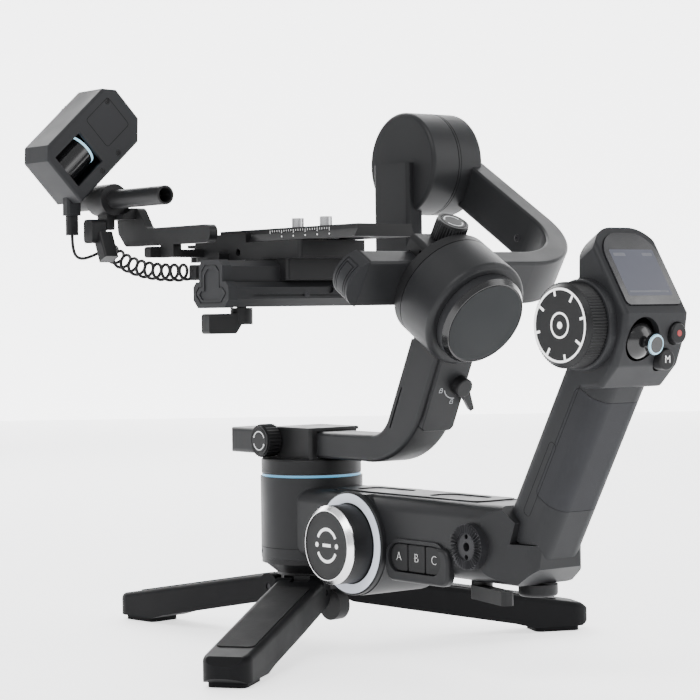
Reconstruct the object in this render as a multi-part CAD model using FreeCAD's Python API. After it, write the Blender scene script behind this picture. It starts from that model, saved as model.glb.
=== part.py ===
import FreeCAD, Part
import math
import os

# Three-axis camera gimbal standing on its folding mini tripod.
# Millimetres. +Y is the lens direction, +X the operator's right, +Z up.
# The origin is on the floor, on the pan axis.

V = FreeCAD.Vector
X_AXIS = V(1, 0, 0)
Y_AXIS = V(0, 1, 0)
Z_AXIS = V(0, 0, 1)

# ---- driving dimensions ------------------------------------------------------
GIMBAL_Z = 247.0          # height where the pan, roll and tilt axes cross
ROLL_TILT = 31.5          # degrees that the roll axis drops towards the operator
GAP = 0.5                 # running gap between bodies that turn on each other
WALL = 2.2                # moulded and cast wall

PAN_RADIUS = 26.2
PAN_BOTTOM = 44.5
PAN_TOP = 85.8
LIGHT_TOP = 87.1
ROTOR_BOTTOM = LIGHT_TOP + GAP
ROTOR_TOP = 95.0

BODY_HALF = 21.0
BODY_BOTTOM = 45.5
BODY_TOP = 81.0
BODY_REAR = -187.0
TAPER_FROM = -156.0        # the body narrows in plan behind this
REAR_HALF = 14.5

WHEEL_Y = -62.5           # follow wheel axis, which runs along X
WHEEL_Z = 57.0
WHEEL_RADIUS = 19.3
WHEEL_FACE = -38.5
WHEEL_BEVEL = 2.2         # bright bevel round the follow wheel's face
BOSS_RADIUS = 25.6
BOSS_FACE = -24.0
RING_OUTER = 24.2         # radius of the lit ring round the follow wheel

BUTTON_Z = 53.2           # row of three side buttons
BUTTON_HEIGHT = 13.0
BUTTON_LENGTH = 12.2
BUTTON_FIRST_Y = -98.6
BUTTON_PITCH = 12.9
BUTTON_TOP = 1.2          # how far the caps stand out of the body's side
POD_REAR = BUTTON_FIRST_Y - 2 * BUTTON_PITCH - BUTTON_LENGTH / 2 - 0.9
POD_FRONT = BUTTON_FIRST_Y + BUTTON_LENGTH / 2 + 0.9
POD_BOTTOM = BUTTON_Z - BUTTON_HEIGHT / 2 - 0.9
POD_TOP = BUTTON_Z + BUTTON_HEIGHT / 2 + 0.9

ROSETTE_Y = -150.0
ROSETTE_Z = 62.0
ROSETTE_RADIUS = 10.5
ROSETTE_FACE = -25.5

GRIP_LEAN = 29.7
GRIP_BASE = V(0, -171.0, 60.0)
GRIP_HALF_X = 14.2
GRIP_HALF_Y = 14.6
GRIP_LENGTH = 95.0
GRIP_CORNER = 8.0
# Edge of the body where it wraps the foot of the grip, as (y, z); the grip shows above it.
SADDLE = ((-162.0, 90.0), (-166.2, 81.0), (-175.0, 74.0), (-172.0, 64.3), (-215.0, 64.3), (-215.0, 90.0))
SADDLE_SEAM = 0.35

HEAD_HALF = 19.0
FACE_TOP = (-225.5, 204.0)      # y, z of the screen face's top edge
FACE_FOOT = (-248.4, 167.0)
FACE_LEAN = math.degrees(math.atan2(FACE_TOP[0] - FACE_FOOT[0], FACE_TOP[1] - FACE_FOOT[1]))
HEAD_OUTLINE = (
    FACE_TOP,
    (-219.5, 202.5),
    (-219.0, 183.0),
    (-205.5, 172.0),
    (-202.0, 160.0),
    (-201.5, 146.0),
    (-205.0, 134.0),
    (-232.0, 135.2),
    (-241.5, 144.5),
    (-247.0, 158.0),
    FACE_FOOT,
)
HEAD_ARCH = 15.0          # corner radius of the head's top
HEAD_RIM = 2.4            # rounding along the head's two side outlines
GLASS_HALF = 16.2
GLASS_ARCH = 12.6
GLASS_TOP = -3.2          # down the screen face from its top edge
GLASS_FOOT = -39.6
JOY_X = -7.0
JOY_Z = 156.0
JOY_PIVOT = -239.6        # y of the point the joystick tilts about
JOY_DOME = 9.2
JOY_LEAN = 9.0            # degrees that the resting stick points downwards
# x, z and front face of the record and mode buttons
HEAD_BUTTONS = ((12.2, 158.2, -249.0), (8.0, 147.0, -246.0))
TRIGGER_LOW = 150.6
TRIGGER_HIGH = 163.6
KNOB_Y = -224.0           # focus wheel on the head, axis along X
KNOB_Z = 162.3
KNOB_RADIUS = 18.4
KNOB_FACE = -34.0
KNOB_BACK = -23.8
KNOB_BEVEL = 2.0

LEG_ANGLES = (97.2, 217.2, 337.2)
LEG_NAMES = ("left", "front", "right")
LEG_PIN_RADIUS = 20.0
LEG_PIN_Z = 28.0
LEG_REACH = 148.0
LEG_HALF = 13.0
LEG_CREST = 7.0           # top of the leg's root above its pin
TOE_TOP = 15.0
TOE_RADIUS = 10.0
STOP_RADIUS = 7.8         # rounded stops under the hub, between the legs
STOP_HALF = 3.4
LEG_SLOPE = math.degrees(math.atan2(LEG_PIN_Z + LEG_CREST - TOE_TOP, LEG_REACH - 8.0 - LEG_PIN_RADIUS))

ARM_HALF = 11.0           # pan arm, half its width along X
ARM_BOTTOM = 95.8
ARM_TOP = 109.0
ARM_FRONT = 57.0
ARM_LEAN = 25.5
ARM_BACK_FOOT = (-98.0, 111.5)
ARM_INNER_FOOT = (-73.2, 110.0)
LOCK_X = 5.6              # lock lever's pivot on the arm's sloping back face
LOCK_UP = 26.0
COVER_RISE = 2.0          # how far the arm's back cover stands out
PAN_KNOB_Y = 11.7
PAN_KNOB_Z = 103.9

CAP_AT = -161.0           # stations along the roll axis, from the gimbal centre
MOTOR_REAR = -154.2
CAP_RADIUS = 22.6
MOTOR_FRONT = -131.0
BAR_REAR = -125.3
BAR_FRONT = -113.3
ROLL_RADIUS = 27.4
BAR_HALF = 11.85
ROLL_KNOB_AT = -117.0
BAR_LEFT = -48.0
LEG_OUTER = 100.0
LEG_INNER = 88.0
CORNER_OUTER = 46.0

TILT_RADIUS = 27.0
TILT_SPLIT = 79.0
TILT_OUTER = 96.0
TILT_INNER = 62.0

RAIL_Y = 4.5
RAIL_BOTTOM = 172.3
RAIL_STEP = 184.6
RAIL_TOP = 195.6
RAIL_LOWER_HALF = 15.2
RAIL_UPPER_HALF = 10.0
RAIL_LEFT = -52.0
RAIL_LEVER_X = -39.0
BASE_REAR = -24.0
LATCH_X = -18.0           # pivot of the lever that locks the camera plate
LATCH_Y = 74.6
BASE_FRONT = 70.0

PLATE_X = -2.0
PLATE_HALF = 19.0
PLATE_BOTTOM = 205.8
PLATE_TOP = 212.0
PLATE_REAR = -66.0
PLATE_FRONT = 52.0

ROD_X = -54.0             # follow-focus rod, along Y
ROD_Z = 230.7
ROD_RADIUS = 5.0
ROD_REAR = 50.0
ROD_FRONT = 146.0
ROD_GROOVE = 117.0
FOCUS_REAR = 103.0        # back face of the focus motor
FOCUS_DEPTH = 27.0
FOCUS_CENTRE_X = -63.0
FOCUS_CENTRE_Z = 261.5
FOCUS_TURN = 43.0
FOCUS_HALF_LONG = 29.0
FOCUS_HALF_SHORT = 17.5
WINDOW_X = -14.5          # window in the motor case, in the case's own frame
WINDOW_HALF = 10.2
GEAR_X = 15.0
GEAR_Z = 2.0
GEAR_TEETH = 30
GEAR_MODULE = 0.8
LEVER_Y = 108.0           # pivot of the rod clamp's lever
LEVER_Z = 218.2

CORD_WIRE = 1.7
CURL_RADIUS = 5.0
PLUG_LENGTH = 13.0
# Control points of the curly cord's centre line, from the lead loop to the base plug.
CURL_ROUTE = (
    (-47.3, 120.7, 205.5),
    (-47.9, 109.9, 200.3),
    (-47.2, 93.5, 194.8),
    (-46.0, 76.0, 191.8),
    (-44.5, 59.8, 190.7),
    (-42.3, 43.6, 190.5),
)
# Control points of the thin lead from the motor's plug to the curly cord.
LEAD_ROUTE = (
    (-71.0, 116.0, 212.0),
    (-71.0, 116.0, 204.0),
    (-66.0, 118.0, 199.0),
    (-56.0, 120.0, 201.0),
    (-48.5, 119.6, 204.6),
)

ROLL_FRAME = FreeCAD.Placement(V(0, 0, GIMBAL_Z), FreeCAD.Rotation(X_AXIS, ROLL_TILT))
GRIP_FRAME = FreeCAD.Placement(GRIP_BASE, FreeCAD.Rotation(X_AXIS, GRIP_LEAN))
ROLL_BACK = V(0, math.cos(math.radians(ROLL_TILT)), math.sin(math.radians(ROLL_TILT)))
# The screen face's own frame: origin at its top edge, -Z down the face, -Y out of it.
FACE_FRAME = FreeCAD.Placement(V(0, *FACE_TOP), FreeCAD.Rotation(X_AXIS, -FACE_LEAN))
# Frame on the arm's sloping back face: +Z up the face, -Y out of it.
ARM_BACK_FRAME = FreeCAD.Placement(V(0, *ARM_BACK_FOOT), FreeCAD.Rotation(X_AXIS, ARM_LEAN))
# Frame on the arm's inner sloping face: +Z up the face, +Y out of it.
ARM_INNER_FRAME = FreeCAD.Placement(V(0, *ARM_INNER_FOOT), FreeCAD.Rotation(X_AXIS, ARM_LEAN))
FOCUS_FRAME = FreeCAD.Placement(
    V(FOCUS_CENTRE_X, FOCUS_REAR, FOCUS_CENTRE_Z), FreeCAD.Rotation(Y_AXIS, -FOCUS_TURN))

# ---- small tools -------------------------------------------------------------


def box(x0, x1, y0, y1, z0, z1):
    return Part.makeBox(x1 - x0, y1 - y0, z1 - z0, V(x0, y0, z0))


def rod(radius, start, end):
    along = V(*end) - V(*start)
    return Part.makeCylinder(radius, along.Length, V(*start), along)


def tube(outer, inner, start, end):
    return rod(outer, start, end).cut(rod(inner, start, end))


def placed(shape, frame):
    moved = shape.copy()
    moved.Placement = frame.multiply(moved.Placement)
    return moved


def turned_about_z(shape, degrees):
    moved = shape.copy()
    moved.rotate(V(0, 0, 0), Z_AXIS, degrees)
    return moved


def edges_along(shape, axis, tolerance=0.999):
    found = []
    for edge in shape.Edges:
        if edge.Curve.TypeId != "Part::GeomLine":
            continue
        if abs(edge.tangentAt(edge.FirstParameter).dot(axis)) > tolerance:
            found.append(edge)
    return found


def rounded(shape, radius, axis):
    return shape.makeFillet(radius, edges_along(shape, axis))


def rim_edges(shape, axis, at):
    """Edges that lie wholly in the plane at distance `at` along `axis`."""
    found = []
    for edge in shape.Edges:
        middle = edge.valueAt((edge.FirstParameter + edge.LastParameter) / 2)
        ends = [vertex.Point for vertex in edge.Vertexes] + [middle]
        if all(abs(point.dot(axis) - at) < 1e-4 for point in ends):
            found.append(edge)
    return found


def softened(shape, radius, axis, *stations):
    edges = []
    for at in stations:
        edges += rim_edges(shape, axis, at)
    return shape.makeFillet(radius, edges)


def prism_x(points, x0, x1):
    """Solid between x0 and x1 with the outline given as (y, z) points."""
    corners = [V(x0, y, z) for y, z in points]
    face = Part.Face(Part.makePolygon(corners + corners[:1]))
    return face.extrude(V(x1 - x0, 0, 0))


def prism_y(points, y0, y1):
    corners = [V(x, y0, z) for x, z in points]
    face = Part.Face(Part.makePolygon(corners + corners[:1]))
    return face.extrude(V(0, y1 - y0, 0))


def prism_z(points, z0, z1):
    corners = [V(x, y, z0) for x, y in points]
    face = Part.Face(Part.makePolygon(corners + corners[:1]))
    return face.extrude(V(0, 0, z1 - z0))


def knurled_disc(radius, depth, count, x0, x1, y, z):
    """Short drum along X with `count` straight flutes round its rim."""
    points = []
    for i in range(2 * count):
        angle = math.pi * i / count
        reach = radius - depth * (i % 2)
        points.append((y + reach * math.cos(angle), z + reach * math.sin(angle)))
    return prism_x(points, x0, x1)


def tangent_path(points):
    """Straight runs joined by tangent arcs, as large as the runs allow."""
    knots = [V(*p) for p in points]
    edges = []
    start = knots[0]
    for before, corner, after in zip(knots, knots[1:], knots[2:]):
        way_in = corner - before
        way_out = after - corner
        turn = way_in.getAngle(way_out)
        setback = 0.45 * min(way_in.Length, way_out.Length)
        radius = setback / math.tan(turn / 2)
        unit_in = way_in.normalize()
        unit_out = way_out.normalize()
        enter = corner - unit_in * setback
        leave = corner + unit_out * setback
        toward = (unit_out - unit_in).normalize()
        centre = corner + toward * (radius / math.cos(turn / 2))
        middle = centre - toward * radius
        edges.append(Part.LineSegment(start, enter).toShape())
        edges.append(Part.Arc(enter, middle, leave).toShape())
        start = leave
    edges.append(Part.LineSegment(start, knots[-1]).toShape())
    return Part.Wire(edges)


def cord_tube(points, radius):
    path = tangent_path(points)
    first = V(*points[0])
    along = V(*points[1]) - first
    profile = Part.Wire([Part.Circle(first, along, radius).toShape()])
    return path.makePipeShell([profile], True, True)


def save(name, *shapes):
    solids = []
    for shape in shapes:
        solids += shape.Solids
    result = solids[0] if len(solids) == 1 else Part.makeCompound(solids)
    assert result.isValid(), name
    result.exportStep("parts/%s.step" % name)


# ---- handle: body, pan housing and what they hold ----------------------------


def spar_outline(inset):
    """Side outline of the body behind the pan housing, shrunk by `inset`."""
    return (
        (0.0, BODY_BOTTOM + inset),
        (BODY_REAR + 12.0 + inset, BODY_BOTTOM + inset),
        (BODY_REAR + 1.0 + inset, BODY_BOTTOM + 8.0 + inset),
        (BODY_REAR + inset, 70.0),
        (-174.0 + inset, BODY_TOP - inset),
        (0.0, BODY_TOP - inset),
    )


def spar(inset, corner):
    half = BODY_HALF - inset
    rear_half = REAR_HALF - inset
    rear = BODY_REAR + inset
    bar = rounded(prism_x(spar_outline(inset), -half, half), corner, Y_AXIS)
    plan = prism_z(((-half, 20), (-half, TAPER_FROM), (-rear_half, rear), (rear_half, rear),
                    (half, TAPER_FROM), (half, 20)), 0, 120)
    return bar.common(rounded(plan, corner, Z_AXIS))


def saddle(grow):
    """Everything behind and above the edge where the body meets the grip."""
    return prism_x([(y + grow, z - grow) for y, z in SADDLE], -40, 40)


def body_shell():
    outside = spar(0, 7.0).fuse(rod(PAN_RADIUS, (0, 0, PAN_BOTTOM), (0, 0, PAN_TOP)))
    barrel = rod(BOSS_RADIUS, (BOSS_FACE + 3, WHEEL_Y, WHEEL_Z), (19, WHEEL_Y, WHEEL_Z))
    barrel = softened(barrel, 3.0, X_AXIS, 19)
    barrel = barrel.cut(box(-BODY_HALF, 30, -95, -30, BODY_TOP, BODY_TOP + 9))
    outside = outside.fuse(barrel).removeSplitter()
    inside = spar(WALL, 5.0)
    well = rod(PAN_RADIUS - WALL, (0, 0, PAN_BOTTOM - 1), (0, 0, PAN_TOP + 1))
    drum = rod(BOSS_RADIUS - WALL, (BOSS_FACE + 3 + WALL, WHEEL_Y, WHEEL_Z), (19 - WALL, WHEEL_Y, WHEEL_Z))
    shell = outside.cut(inside.fuse(well).fuse(drum))
    shell = shell.cut(rod(3.0, (BOSS_FACE, WHEEL_Y, WHEEL_Z), (0, WHEEL_Y, WHEEL_Z)))
    shell = shell.cut(grip_solid(GRIP_HALF_X - 3, GRIP_HALF_Y - 3, 10.0, GRIP_LENGTH, 5.0))
    shell = shell.cut(grip_solid(GRIP_HALF_X + 0.05, GRIP_HALF_Y + 0.05, 20.0, 60.0, GRIP_CORNER))
    shell = shell.cut(box(-13, 13, -145, -35, BODY_TOP - 0.9, BODY_TOP + 1))
    lining = spar(0, 7.0).common(saddle(2.0)).cut(saddle(0))
    shell = shell.cut(saddle(0)).fuse(lining)
    shell = shell.cut(pod_blank(0, -BODY_HALF - 1, -BODY_HALF + WALL + 1))
    shell = shell.cut(rod(ROSETTE_RADIUS - 2, (-30, ROSETTE_Y, ROSETTE_Z), (-10, ROSETTE_Y, ROSETTE_Z)))
    shell = shell.cut(rod(ROSETTE_RADIUS + 0.05, (-30, ROSETTE_Y, ROSETTE_Z), (-19.9, ROSETTE_Y, ROSETTE_Z)))
    shell = shell.cut(box(-12, 12, -174, -40, BODY_BOTTOM - 1, BODY_BOTTOM + WALL + 1))
    return largest(shell.fuse(wheel_boss()).fuse(button_pod()).removeSplitter())


def grip_solid(half_x, half_y, z0, z1, corner):
    bar = rounded(box(-half_x, half_x, -half_y, half_y, z0, z1), corner, Z_AXIS)
    return placed(bar, GRIP_FRAME)


def top_trim():
    """Glossy strip let into the top of the body, with two finger recesses."""
    strip = rounded(box(-12.8, 12.8, -144.8, -35.2, BODY_TOP - 0.9, BODY_TOP + 0.7), 5.0, Z_AXIS)
    strip = softened(strip, 0.5, Z_AXIS, BODY_TOP + 0.7)
    for y in (-62.0, -118.0):
        recess = rounded(box(-8, 8, y - 17, y + 17, BODY_TOP + 0.1, BODY_TOP + 3), 6.0, Z_AXIS)
        strip = strip.cut(recess)
    return strip


def bottom_cover():
    plate = rounded(box(-11.7, 11.7, -173.7, -40.3, BODY_BOTTOM + 0.1, BODY_BOTTOM + WALL), 3.0, Z_AXIS)
    plate = plate.cut(rod(BOSS_RADIUS + 0.3, (-30, WHEEL_Y, WHEEL_Z), (30, WHEEL_Y, WHEEL_Z)))
    plate = plate.cut(rod(3.05, (2, -169, 40), (2, -169, 60)))
    return plate.cut(rod(2.55, (-9, -143, 40), (-9, -143, 60)))


def pan_bottom_cap():
    """Stepped ring that closes the pan housing and carries the tripod thread."""
    collar = Part.makeCone(18.5, PAN_RADIUS - 1.5, 5.0, V(0, 0, 37.0), Z_AXIS)
    band = rod(PAN_RADIUS - 0.3, (0, 0, 42.0), (0, 0, PAN_BOTTOM - 0.1))
    spigot = rod(PAN_RADIUS - WALL - 0.1, (0, 0, 44.0), (0, 0, 48.0))
    cap = collar.fuse(band).fuse(spigot).removeSplitter()
    return cap.cut(rod(4.8, (0, 0, 30), (0, 0, 60)))


def handle_parts():
    save("body_shell", body_shell())
    save("top_trim", top_trim())
    save("bottom_cover", bottom_cover())
    save("pan_bottom_cap", pan_bottom_cap())
    save("light_rings", tube(25.3, 22.5, (0, 0, PAN_TOP + 0.1), (0, 0, LIGHT_TOP)), wheel_light_ring())
    save("pan_motor_core", pan_stator(), tube(11.0, 6.0, (0, 0, 76), (0, 0, 82)))
    save("control_boards", box(-15, 15, -138, -92, 66, 67.6), head_board())
    save("battery_cells", battery_cells())
    save("rosette", rosette())


def pan_stator():
    """Carrier plate, laminated core with wound teeth, and the bearing's seat."""
    core = tube(14.0, 11.1, (0, 0, 62), (0, 0, 82))
    for i in range(12):
        tooth = box(13.5, 21.0, -1.4, 1.4, 64, 78)
        core = core.fuse(turned_about_z(tooth, 30 * i))
    carrier = tube(PAN_RADIUS - WALL, 11.1, (0, 0, 56), (0, 0, 59))
    seat = tube(14.0, 11.1, (0, 0, 58), (0, 0, 63))
    return core.fuse(carrier).fuse(seat).removeSplitter()


def battery_cells():
    """One cell inside the grip and one lying in the body."""
    upright = placed(rod(9.1, (0, 0, 24), (0, 0, 89)), GRIP_FRAME)
    lying = rod(8.0, (0, -148, 57.5), (0, -98, 57.5))
    return Part.makeCompound([upright, lying])


def wheel_axis(x):
    """Point on the follow wheel's axis."""
    return (x, WHEEL_Y, WHEEL_Z)


def wheel_boss():
    face = tube(BOSS_RADIUS - 0.4, 3.0, (BOSS_FACE, WHEEL_Y, WHEEL_Z), (BOSS_FACE + 2.9, WHEEL_Y, WHEEL_Z))
    face = softened(face, 0.8, X_AXIS, BOSS_FACE)
    groove = tube(RING_OUTER + 0.1, WHEEL_RADIUS + 0.3, wheel_axis(BOSS_FACE - 1),
                  wheel_axis(BOSS_FACE + 1.2))
    axle_seat = tube(6.0, 3.0, (BOSS_FACE + 2.8, WHEEL_Y, WHEEL_Z), (BOSS_FACE + 9, WHEEL_Y, WHEEL_Z))
    return face.cut(groove).fuse(axle_seat).removeSplitter()


def wheel_light_ring():
    return tube(RING_OUTER, WHEEL_RADIUS + 0.5, wheel_axis(BOSS_FACE - 0.3), wheel_axis(BOSS_FACE + 1.1))


def pod_blank(grow, x0, x1):
    """Long pill shape of the button frame's outside, grown by `grow`."""
    pill = box(x0, x1, POD_REAR - grow, POD_FRONT + grow, POD_BOTTOM - grow, POD_TOP + grow)
    return rounded(pill, (POD_TOP - POD_BOTTOM) / 2 + grow - 0.2, X_AXIS)


def button_pod():
    """Frame round the three side buttons, with a rounded lip under it."""
    lip = box(-23.6, -19.5, POD_REAR - 4.4, POD_FRONT + 2, POD_BOTTOM - 4.0, POD_TOP - 1)
    lip = rounded(lip, 5.5, X_AXIS)
    lip = softened(lip, 1.6, X_AXIS, -23.6)
    frame = pod_blank(1.2, -22.2, -17.4).fuse(lip.cut(spar(-0.15, 7.0)))
    return frame.cut(pod_blank(-0.55, -30, -18.7))


def rosette():
    """Serrated side mount: ring of teeth, threaded centre, two locating holes."""
    puck = rod(ROSETTE_RADIUS, (ROSETTE_FACE + 1.2, ROSETTE_Y, ROSETTE_Z), (-19.95, ROSETTE_Y, ROSETTE_Z))
    stem = rod(ROSETTE_RADIUS - 2.3, (-22, ROSETTE_Y, ROSETTE_Z), (-14, ROSETTE_Y, ROSETTE_Z))
    body = puck.fuse(stem)
    for i in range(36):
        ridge = prism_y(((ROSETTE_FACE, ROSETTE_Z), (ROSETTE_FACE + 1.3, ROSETTE_Z - 0.7),
                         (ROSETTE_FACE + 1.3, ROSETTE_Z + 0.7)), ROSETTE_Y + 6.2, ROSETTE_Y + 10.2)
        ridge.rotate(V(0, ROSETTE_Y, ROSETTE_Z), X_AXIS, 10 * i)
        body = body.fuse(ridge)
    body = body.cut(rod(2.1, (-40, ROSETTE_Y, ROSETTE_Z), (0, ROSETTE_Y, ROSETTE_Z)))
    for side in (-1, 1):
        z = ROSETTE_Z + side * 4.7
        body = body.cut(rod(1.2, (-40, ROSETTE_Y, z), (-18, ROSETTE_Y, z)))
    return body


# ---- handle: grip and control head -------------------------------------------


def grip_parts():
    shell = grip_solid(GRIP_HALF_X, GRIP_HALF_Y, 6.0, GRIP_LENGTH, GRIP_CORNER)
    shell = shell.cut(grip_solid(GRIP_HALF_X - WALL, GRIP_HALF_Y - WALL, 0.0, GRIP_LENGTH + 5, 6.0))
    shell = shell.cut(spar(0, 7.0).cut(saddle(-SADDLE_SEAM)))
    relief = rounded(box(-GRIP_HALF_X - 1, GRIP_HALF_X + 1, -GRIP_HALF_Y - 6, 1.0, 31, 87), 3.0, X_AXIS)
    wrap_zone = placed(relief, GRIP_FRAME)
    core = grip_solid(GRIP_HALF_X - 1.2, GRIP_HALF_Y - 1.2, 0.0, GRIP_LENGTH, GRIP_CORNER - 1.2)
    wrap = grip_solid(GRIP_HALF_X, GRIP_HALF_Y, 10.0, GRIP_LENGTH, GRIP_CORNER).cut(core)
    window = rounded(box(-20, 20, -20, 0.8, 31.2, 86.8), 2.8, X_AXIS)
    save("grip_rubber", wrap.common(placed(window, GRIP_FRAME)))
    save("grip_shell", shell.cut(wrap_zone.cut(core)))


def head_solid(inset):
    block = prism_x(HEAD_OUTLINE, -HEAD_HALF + inset, HEAD_HALF - inset)
    lower = []
    for edge in edges_along(block, X_AXIS):
        if edge.CenterOfMass.y < -230 and edge.CenterOfMass.z < 160:
            lower.append(edge)
    block = block.makeFillet(3.0, lower)
    if not inset:
        block = softened(block, HEAD_RIM, X_AXIS, -HEAD_HALF, HEAD_HALF)
    width = HEAD_HALF + 1.0 - inset
    arch = box(-width, width, -8, 40, -110, 0.0 - inset)
    crown = [edge for edge in edges_along(arch, Y_AXIS) if edge.CenterOfMass.z > -10]
    block = block.common(placed(arch.makeFillet(HEAD_ARCH - inset, crown), FACE_FRAME))
    if inset:
        middle = V(0, -226.0, 165.0)
        block = block.translated(-middle)
        shrink = FreeCAD.Matrix()
        shrink.scale(1.0, 0.86, 0.90)
        return block.transformGeometry(shrink).translated(middle)
    return block


def head_parts():
    solid = head_solid(0)
    collar = rod(KNOB_RADIUS + 1.2, (KNOB_BACK + 0.5, KNOB_Y, KNOB_Z), (-10, KNOB_Y, KNOB_Z))
    collar = softened(collar, 1.0, X_AXIS, KNOB_BACK + 0.5)
    keep = box(-30, 30, KNOB_Y - 19.0, KNOB_Y + 30, 130, 190)
    shell = solid.fuse(collar.common(keep)).removeSplitter()
    shell = shell.cut(head_solid(2.4))
    shell = shell.cut(placed(glass_blank(0.2, -5, 1.2), FACE_FRAME))
    shell = shell.cut(rod(JOY_DOME + 0.2, (JOY_X, -260, JOY_Z), (JOY_X, -232, JOY_Z)))
    for x, z, _ in HEAD_BUTTONS:
        shell = shell.cut(rod(5.0, (x, -260, z), (x, -236, z)))
    shell = shell.cut(rod(3.2, (-30, KNOB_Y, KNOB_Z), (-10, KNOB_Y, KNOB_Z)))
    shell = shell.cut(box(-6.3, 6.3, -212, -195, TRIGGER_LOW - 0.4, TRIGGER_HIGH + 0.4))
    socket = grip_solid(GRIP_HALF_X + 0.05, GRIP_HALF_Y + 0.05, 60.0, GRIP_LENGTH + 0.05, GRIP_CORNER)
    shell = shell.cut(socket)
    save("head_shell", largest(shell))
    save("screen_glass", placed(glass_blank(0, -0.7, 1.1), FACE_FRAME))


def glass_blank(grow, y0, y1):
    """Cover glass: arched at the top, nearly square at the foot."""
    half = GLASS_HALF + grow
    sheet = box(-half, half, y0, y1, GLASS_FOOT - grow, GLASS_TOP + grow)
    crown = [edge for edge in edges_along(sheet, Y_AXIS) if edge.CenterOfMass.z > GLASS_FOOT / 2]
    sheet = sheet.makeFillet(GLASS_ARCH + grow, crown)
    foot = [edge for edge in edges_along(sheet, Y_AXIS) if edge.CenterOfMass.z < GLASS_FOOT + 2]
    return sheet.makeFillet(2.5, foot)


def head_board():
    return placed(box(-13, 13, 3.4, 4.9, -33, -10), FACE_FRAME)


def largest(shape):
    return max(shape.Solids, key=lambda solid: solid.Volume)


def joystick():
    """Domed skirt and the thumb cap on its stick."""
    dome = Part.makeSphere(JOY_DOME).common(rod(JOY_DOME, (0, -20, 0), (0, -5.0, 0)))
    stick = rod(2.2, (0, -13.0, 0), (0, -7, 0))
    cap = softened(rod(4.4, (0, -15.0, 0), (0, -12.2, 0)), 0.8, Y_AXIS, -15.0)
    resting = FreeCAD.Placement(V(JOY_X, JOY_PIVOT, JOY_Z), FreeCAD.Rotation(X_AXIS, JOY_LEAN))
    return placed(dome.fuse(stick).fuse(cap).removeSplitter(), resting)


def head_button(x, z, front):
    button = rod(4.55, (x, front, z), (x, -240.5, z))
    return softened(button, 0.9, Y_AXIS, front)


def control_parts():
    for i, name in enumerate("abc"):
        y = BUTTON_FIRST_Y - i * BUTTON_PITCH
        cap = box(-BODY_HALF - BUTTON_TOP, -19.8, y - BUTTON_LENGTH / 2, y + BUTTON_LENGTH / 2,
                  BUTTON_Z - BUTTON_HEIGHT / 2, BUTTON_Z + BUTTON_HEIGHT / 2)
        cap = rounded(cap, 0.8, X_AXIS).common(pod_blank(-0.9, -30, -10))
        save("button_%s" % name, softened(cap, 0.5, X_AXIS, -BODY_HALF - BUTTON_TOP))
    save("record_button", head_button(*HEAD_BUTTONS[0]))
    save("mode_button", head_button(*HEAD_BUTTONS[1]))
    save("joystick", joystick())
    blade = rounded(box(-5.9, 5.9, -207.5, -198.0, TRIGGER_LOW, TRIGGER_HIGH), 1.5, X_AXIS)
    save("trigger", softened(blade, 1.2, Y_AXIS, -198.0))
    save("follow_wheel", follow_wheel())
    save("focus_wheel", focus_wheel())


def follow_wheel():
    radius = WHEEL_RADIUS - 0.2
    drum = rod(radius, wheel_axis(WHEEL_FACE + 0.4), wheel_axis(BOSS_FACE - 0.8))
    drum = drum.makeChamfer(WHEEL_BEVEL, rim_edges(drum, X_AXIS, WHEEL_FACE + 0.4))
    dish = rod(radius - WHEEL_BEVEL - 0.3, wheel_axis(WHEEL_FACE), wheel_axis(WHEEL_FACE + 0.8))
    drum = drum.cut(dish)
    axle = rod(2.95, wheel_axis(BOSS_FACE - 1), wheel_axis(BOSS_FACE + 8.5))
    return drum.fuse(axle).removeSplitter()


def focus_wheel():
    drum = knurled_disc(KNOB_RADIUS, 0.55, 84, KNOB_FACE + KNOB_BEVEL, KNOB_BACK, KNOB_Y, KNOB_Z)
    face = Part.makeCone(KNOB_RADIUS - 0.6 - KNOB_BEVEL + 0.4, KNOB_RADIUS - 0.6, KNOB_BEVEL,
                         V(KNOB_FACE, KNOB_Y, KNOB_Z), X_AXIS)
    axle = rod(3.15, (KNOB_BACK - 1, KNOB_Y, KNOB_Z), (-17.5, KNOB_Y, KNOB_Z))
    return drum.fuse(face).fuse(axle).removeSplitter()


def handle_lock_parts():
    post = rod(2.5, (-9, -143, 38), (-9, -143, 49))
    hub = rod(5.0, (-9, -143, 36.5), (-9, -143, 44.9))
    blade = rounded(box(-15, -9, -175, -142, 37.0, 43.4), 2.0, Z_AXIS)
    blade.rotate(V(-9, -143, 0), Z_AXIS, -14)
    save("handle_lock_lever", hub.fuse(post).fuse(blade).removeSplitter())
    knob = softened(rod(9.0, (2, -169, 39.5), (2, -169, 44.9)), 1.5, Z_AXIS, 39.5)
    save("handle_screw_knob", knob.fuse(rod(3.0, (2, -169, 44), (2, -169, 50))).removeSplitter())


# ---- tripod ------------------------------------------------------------------


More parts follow.
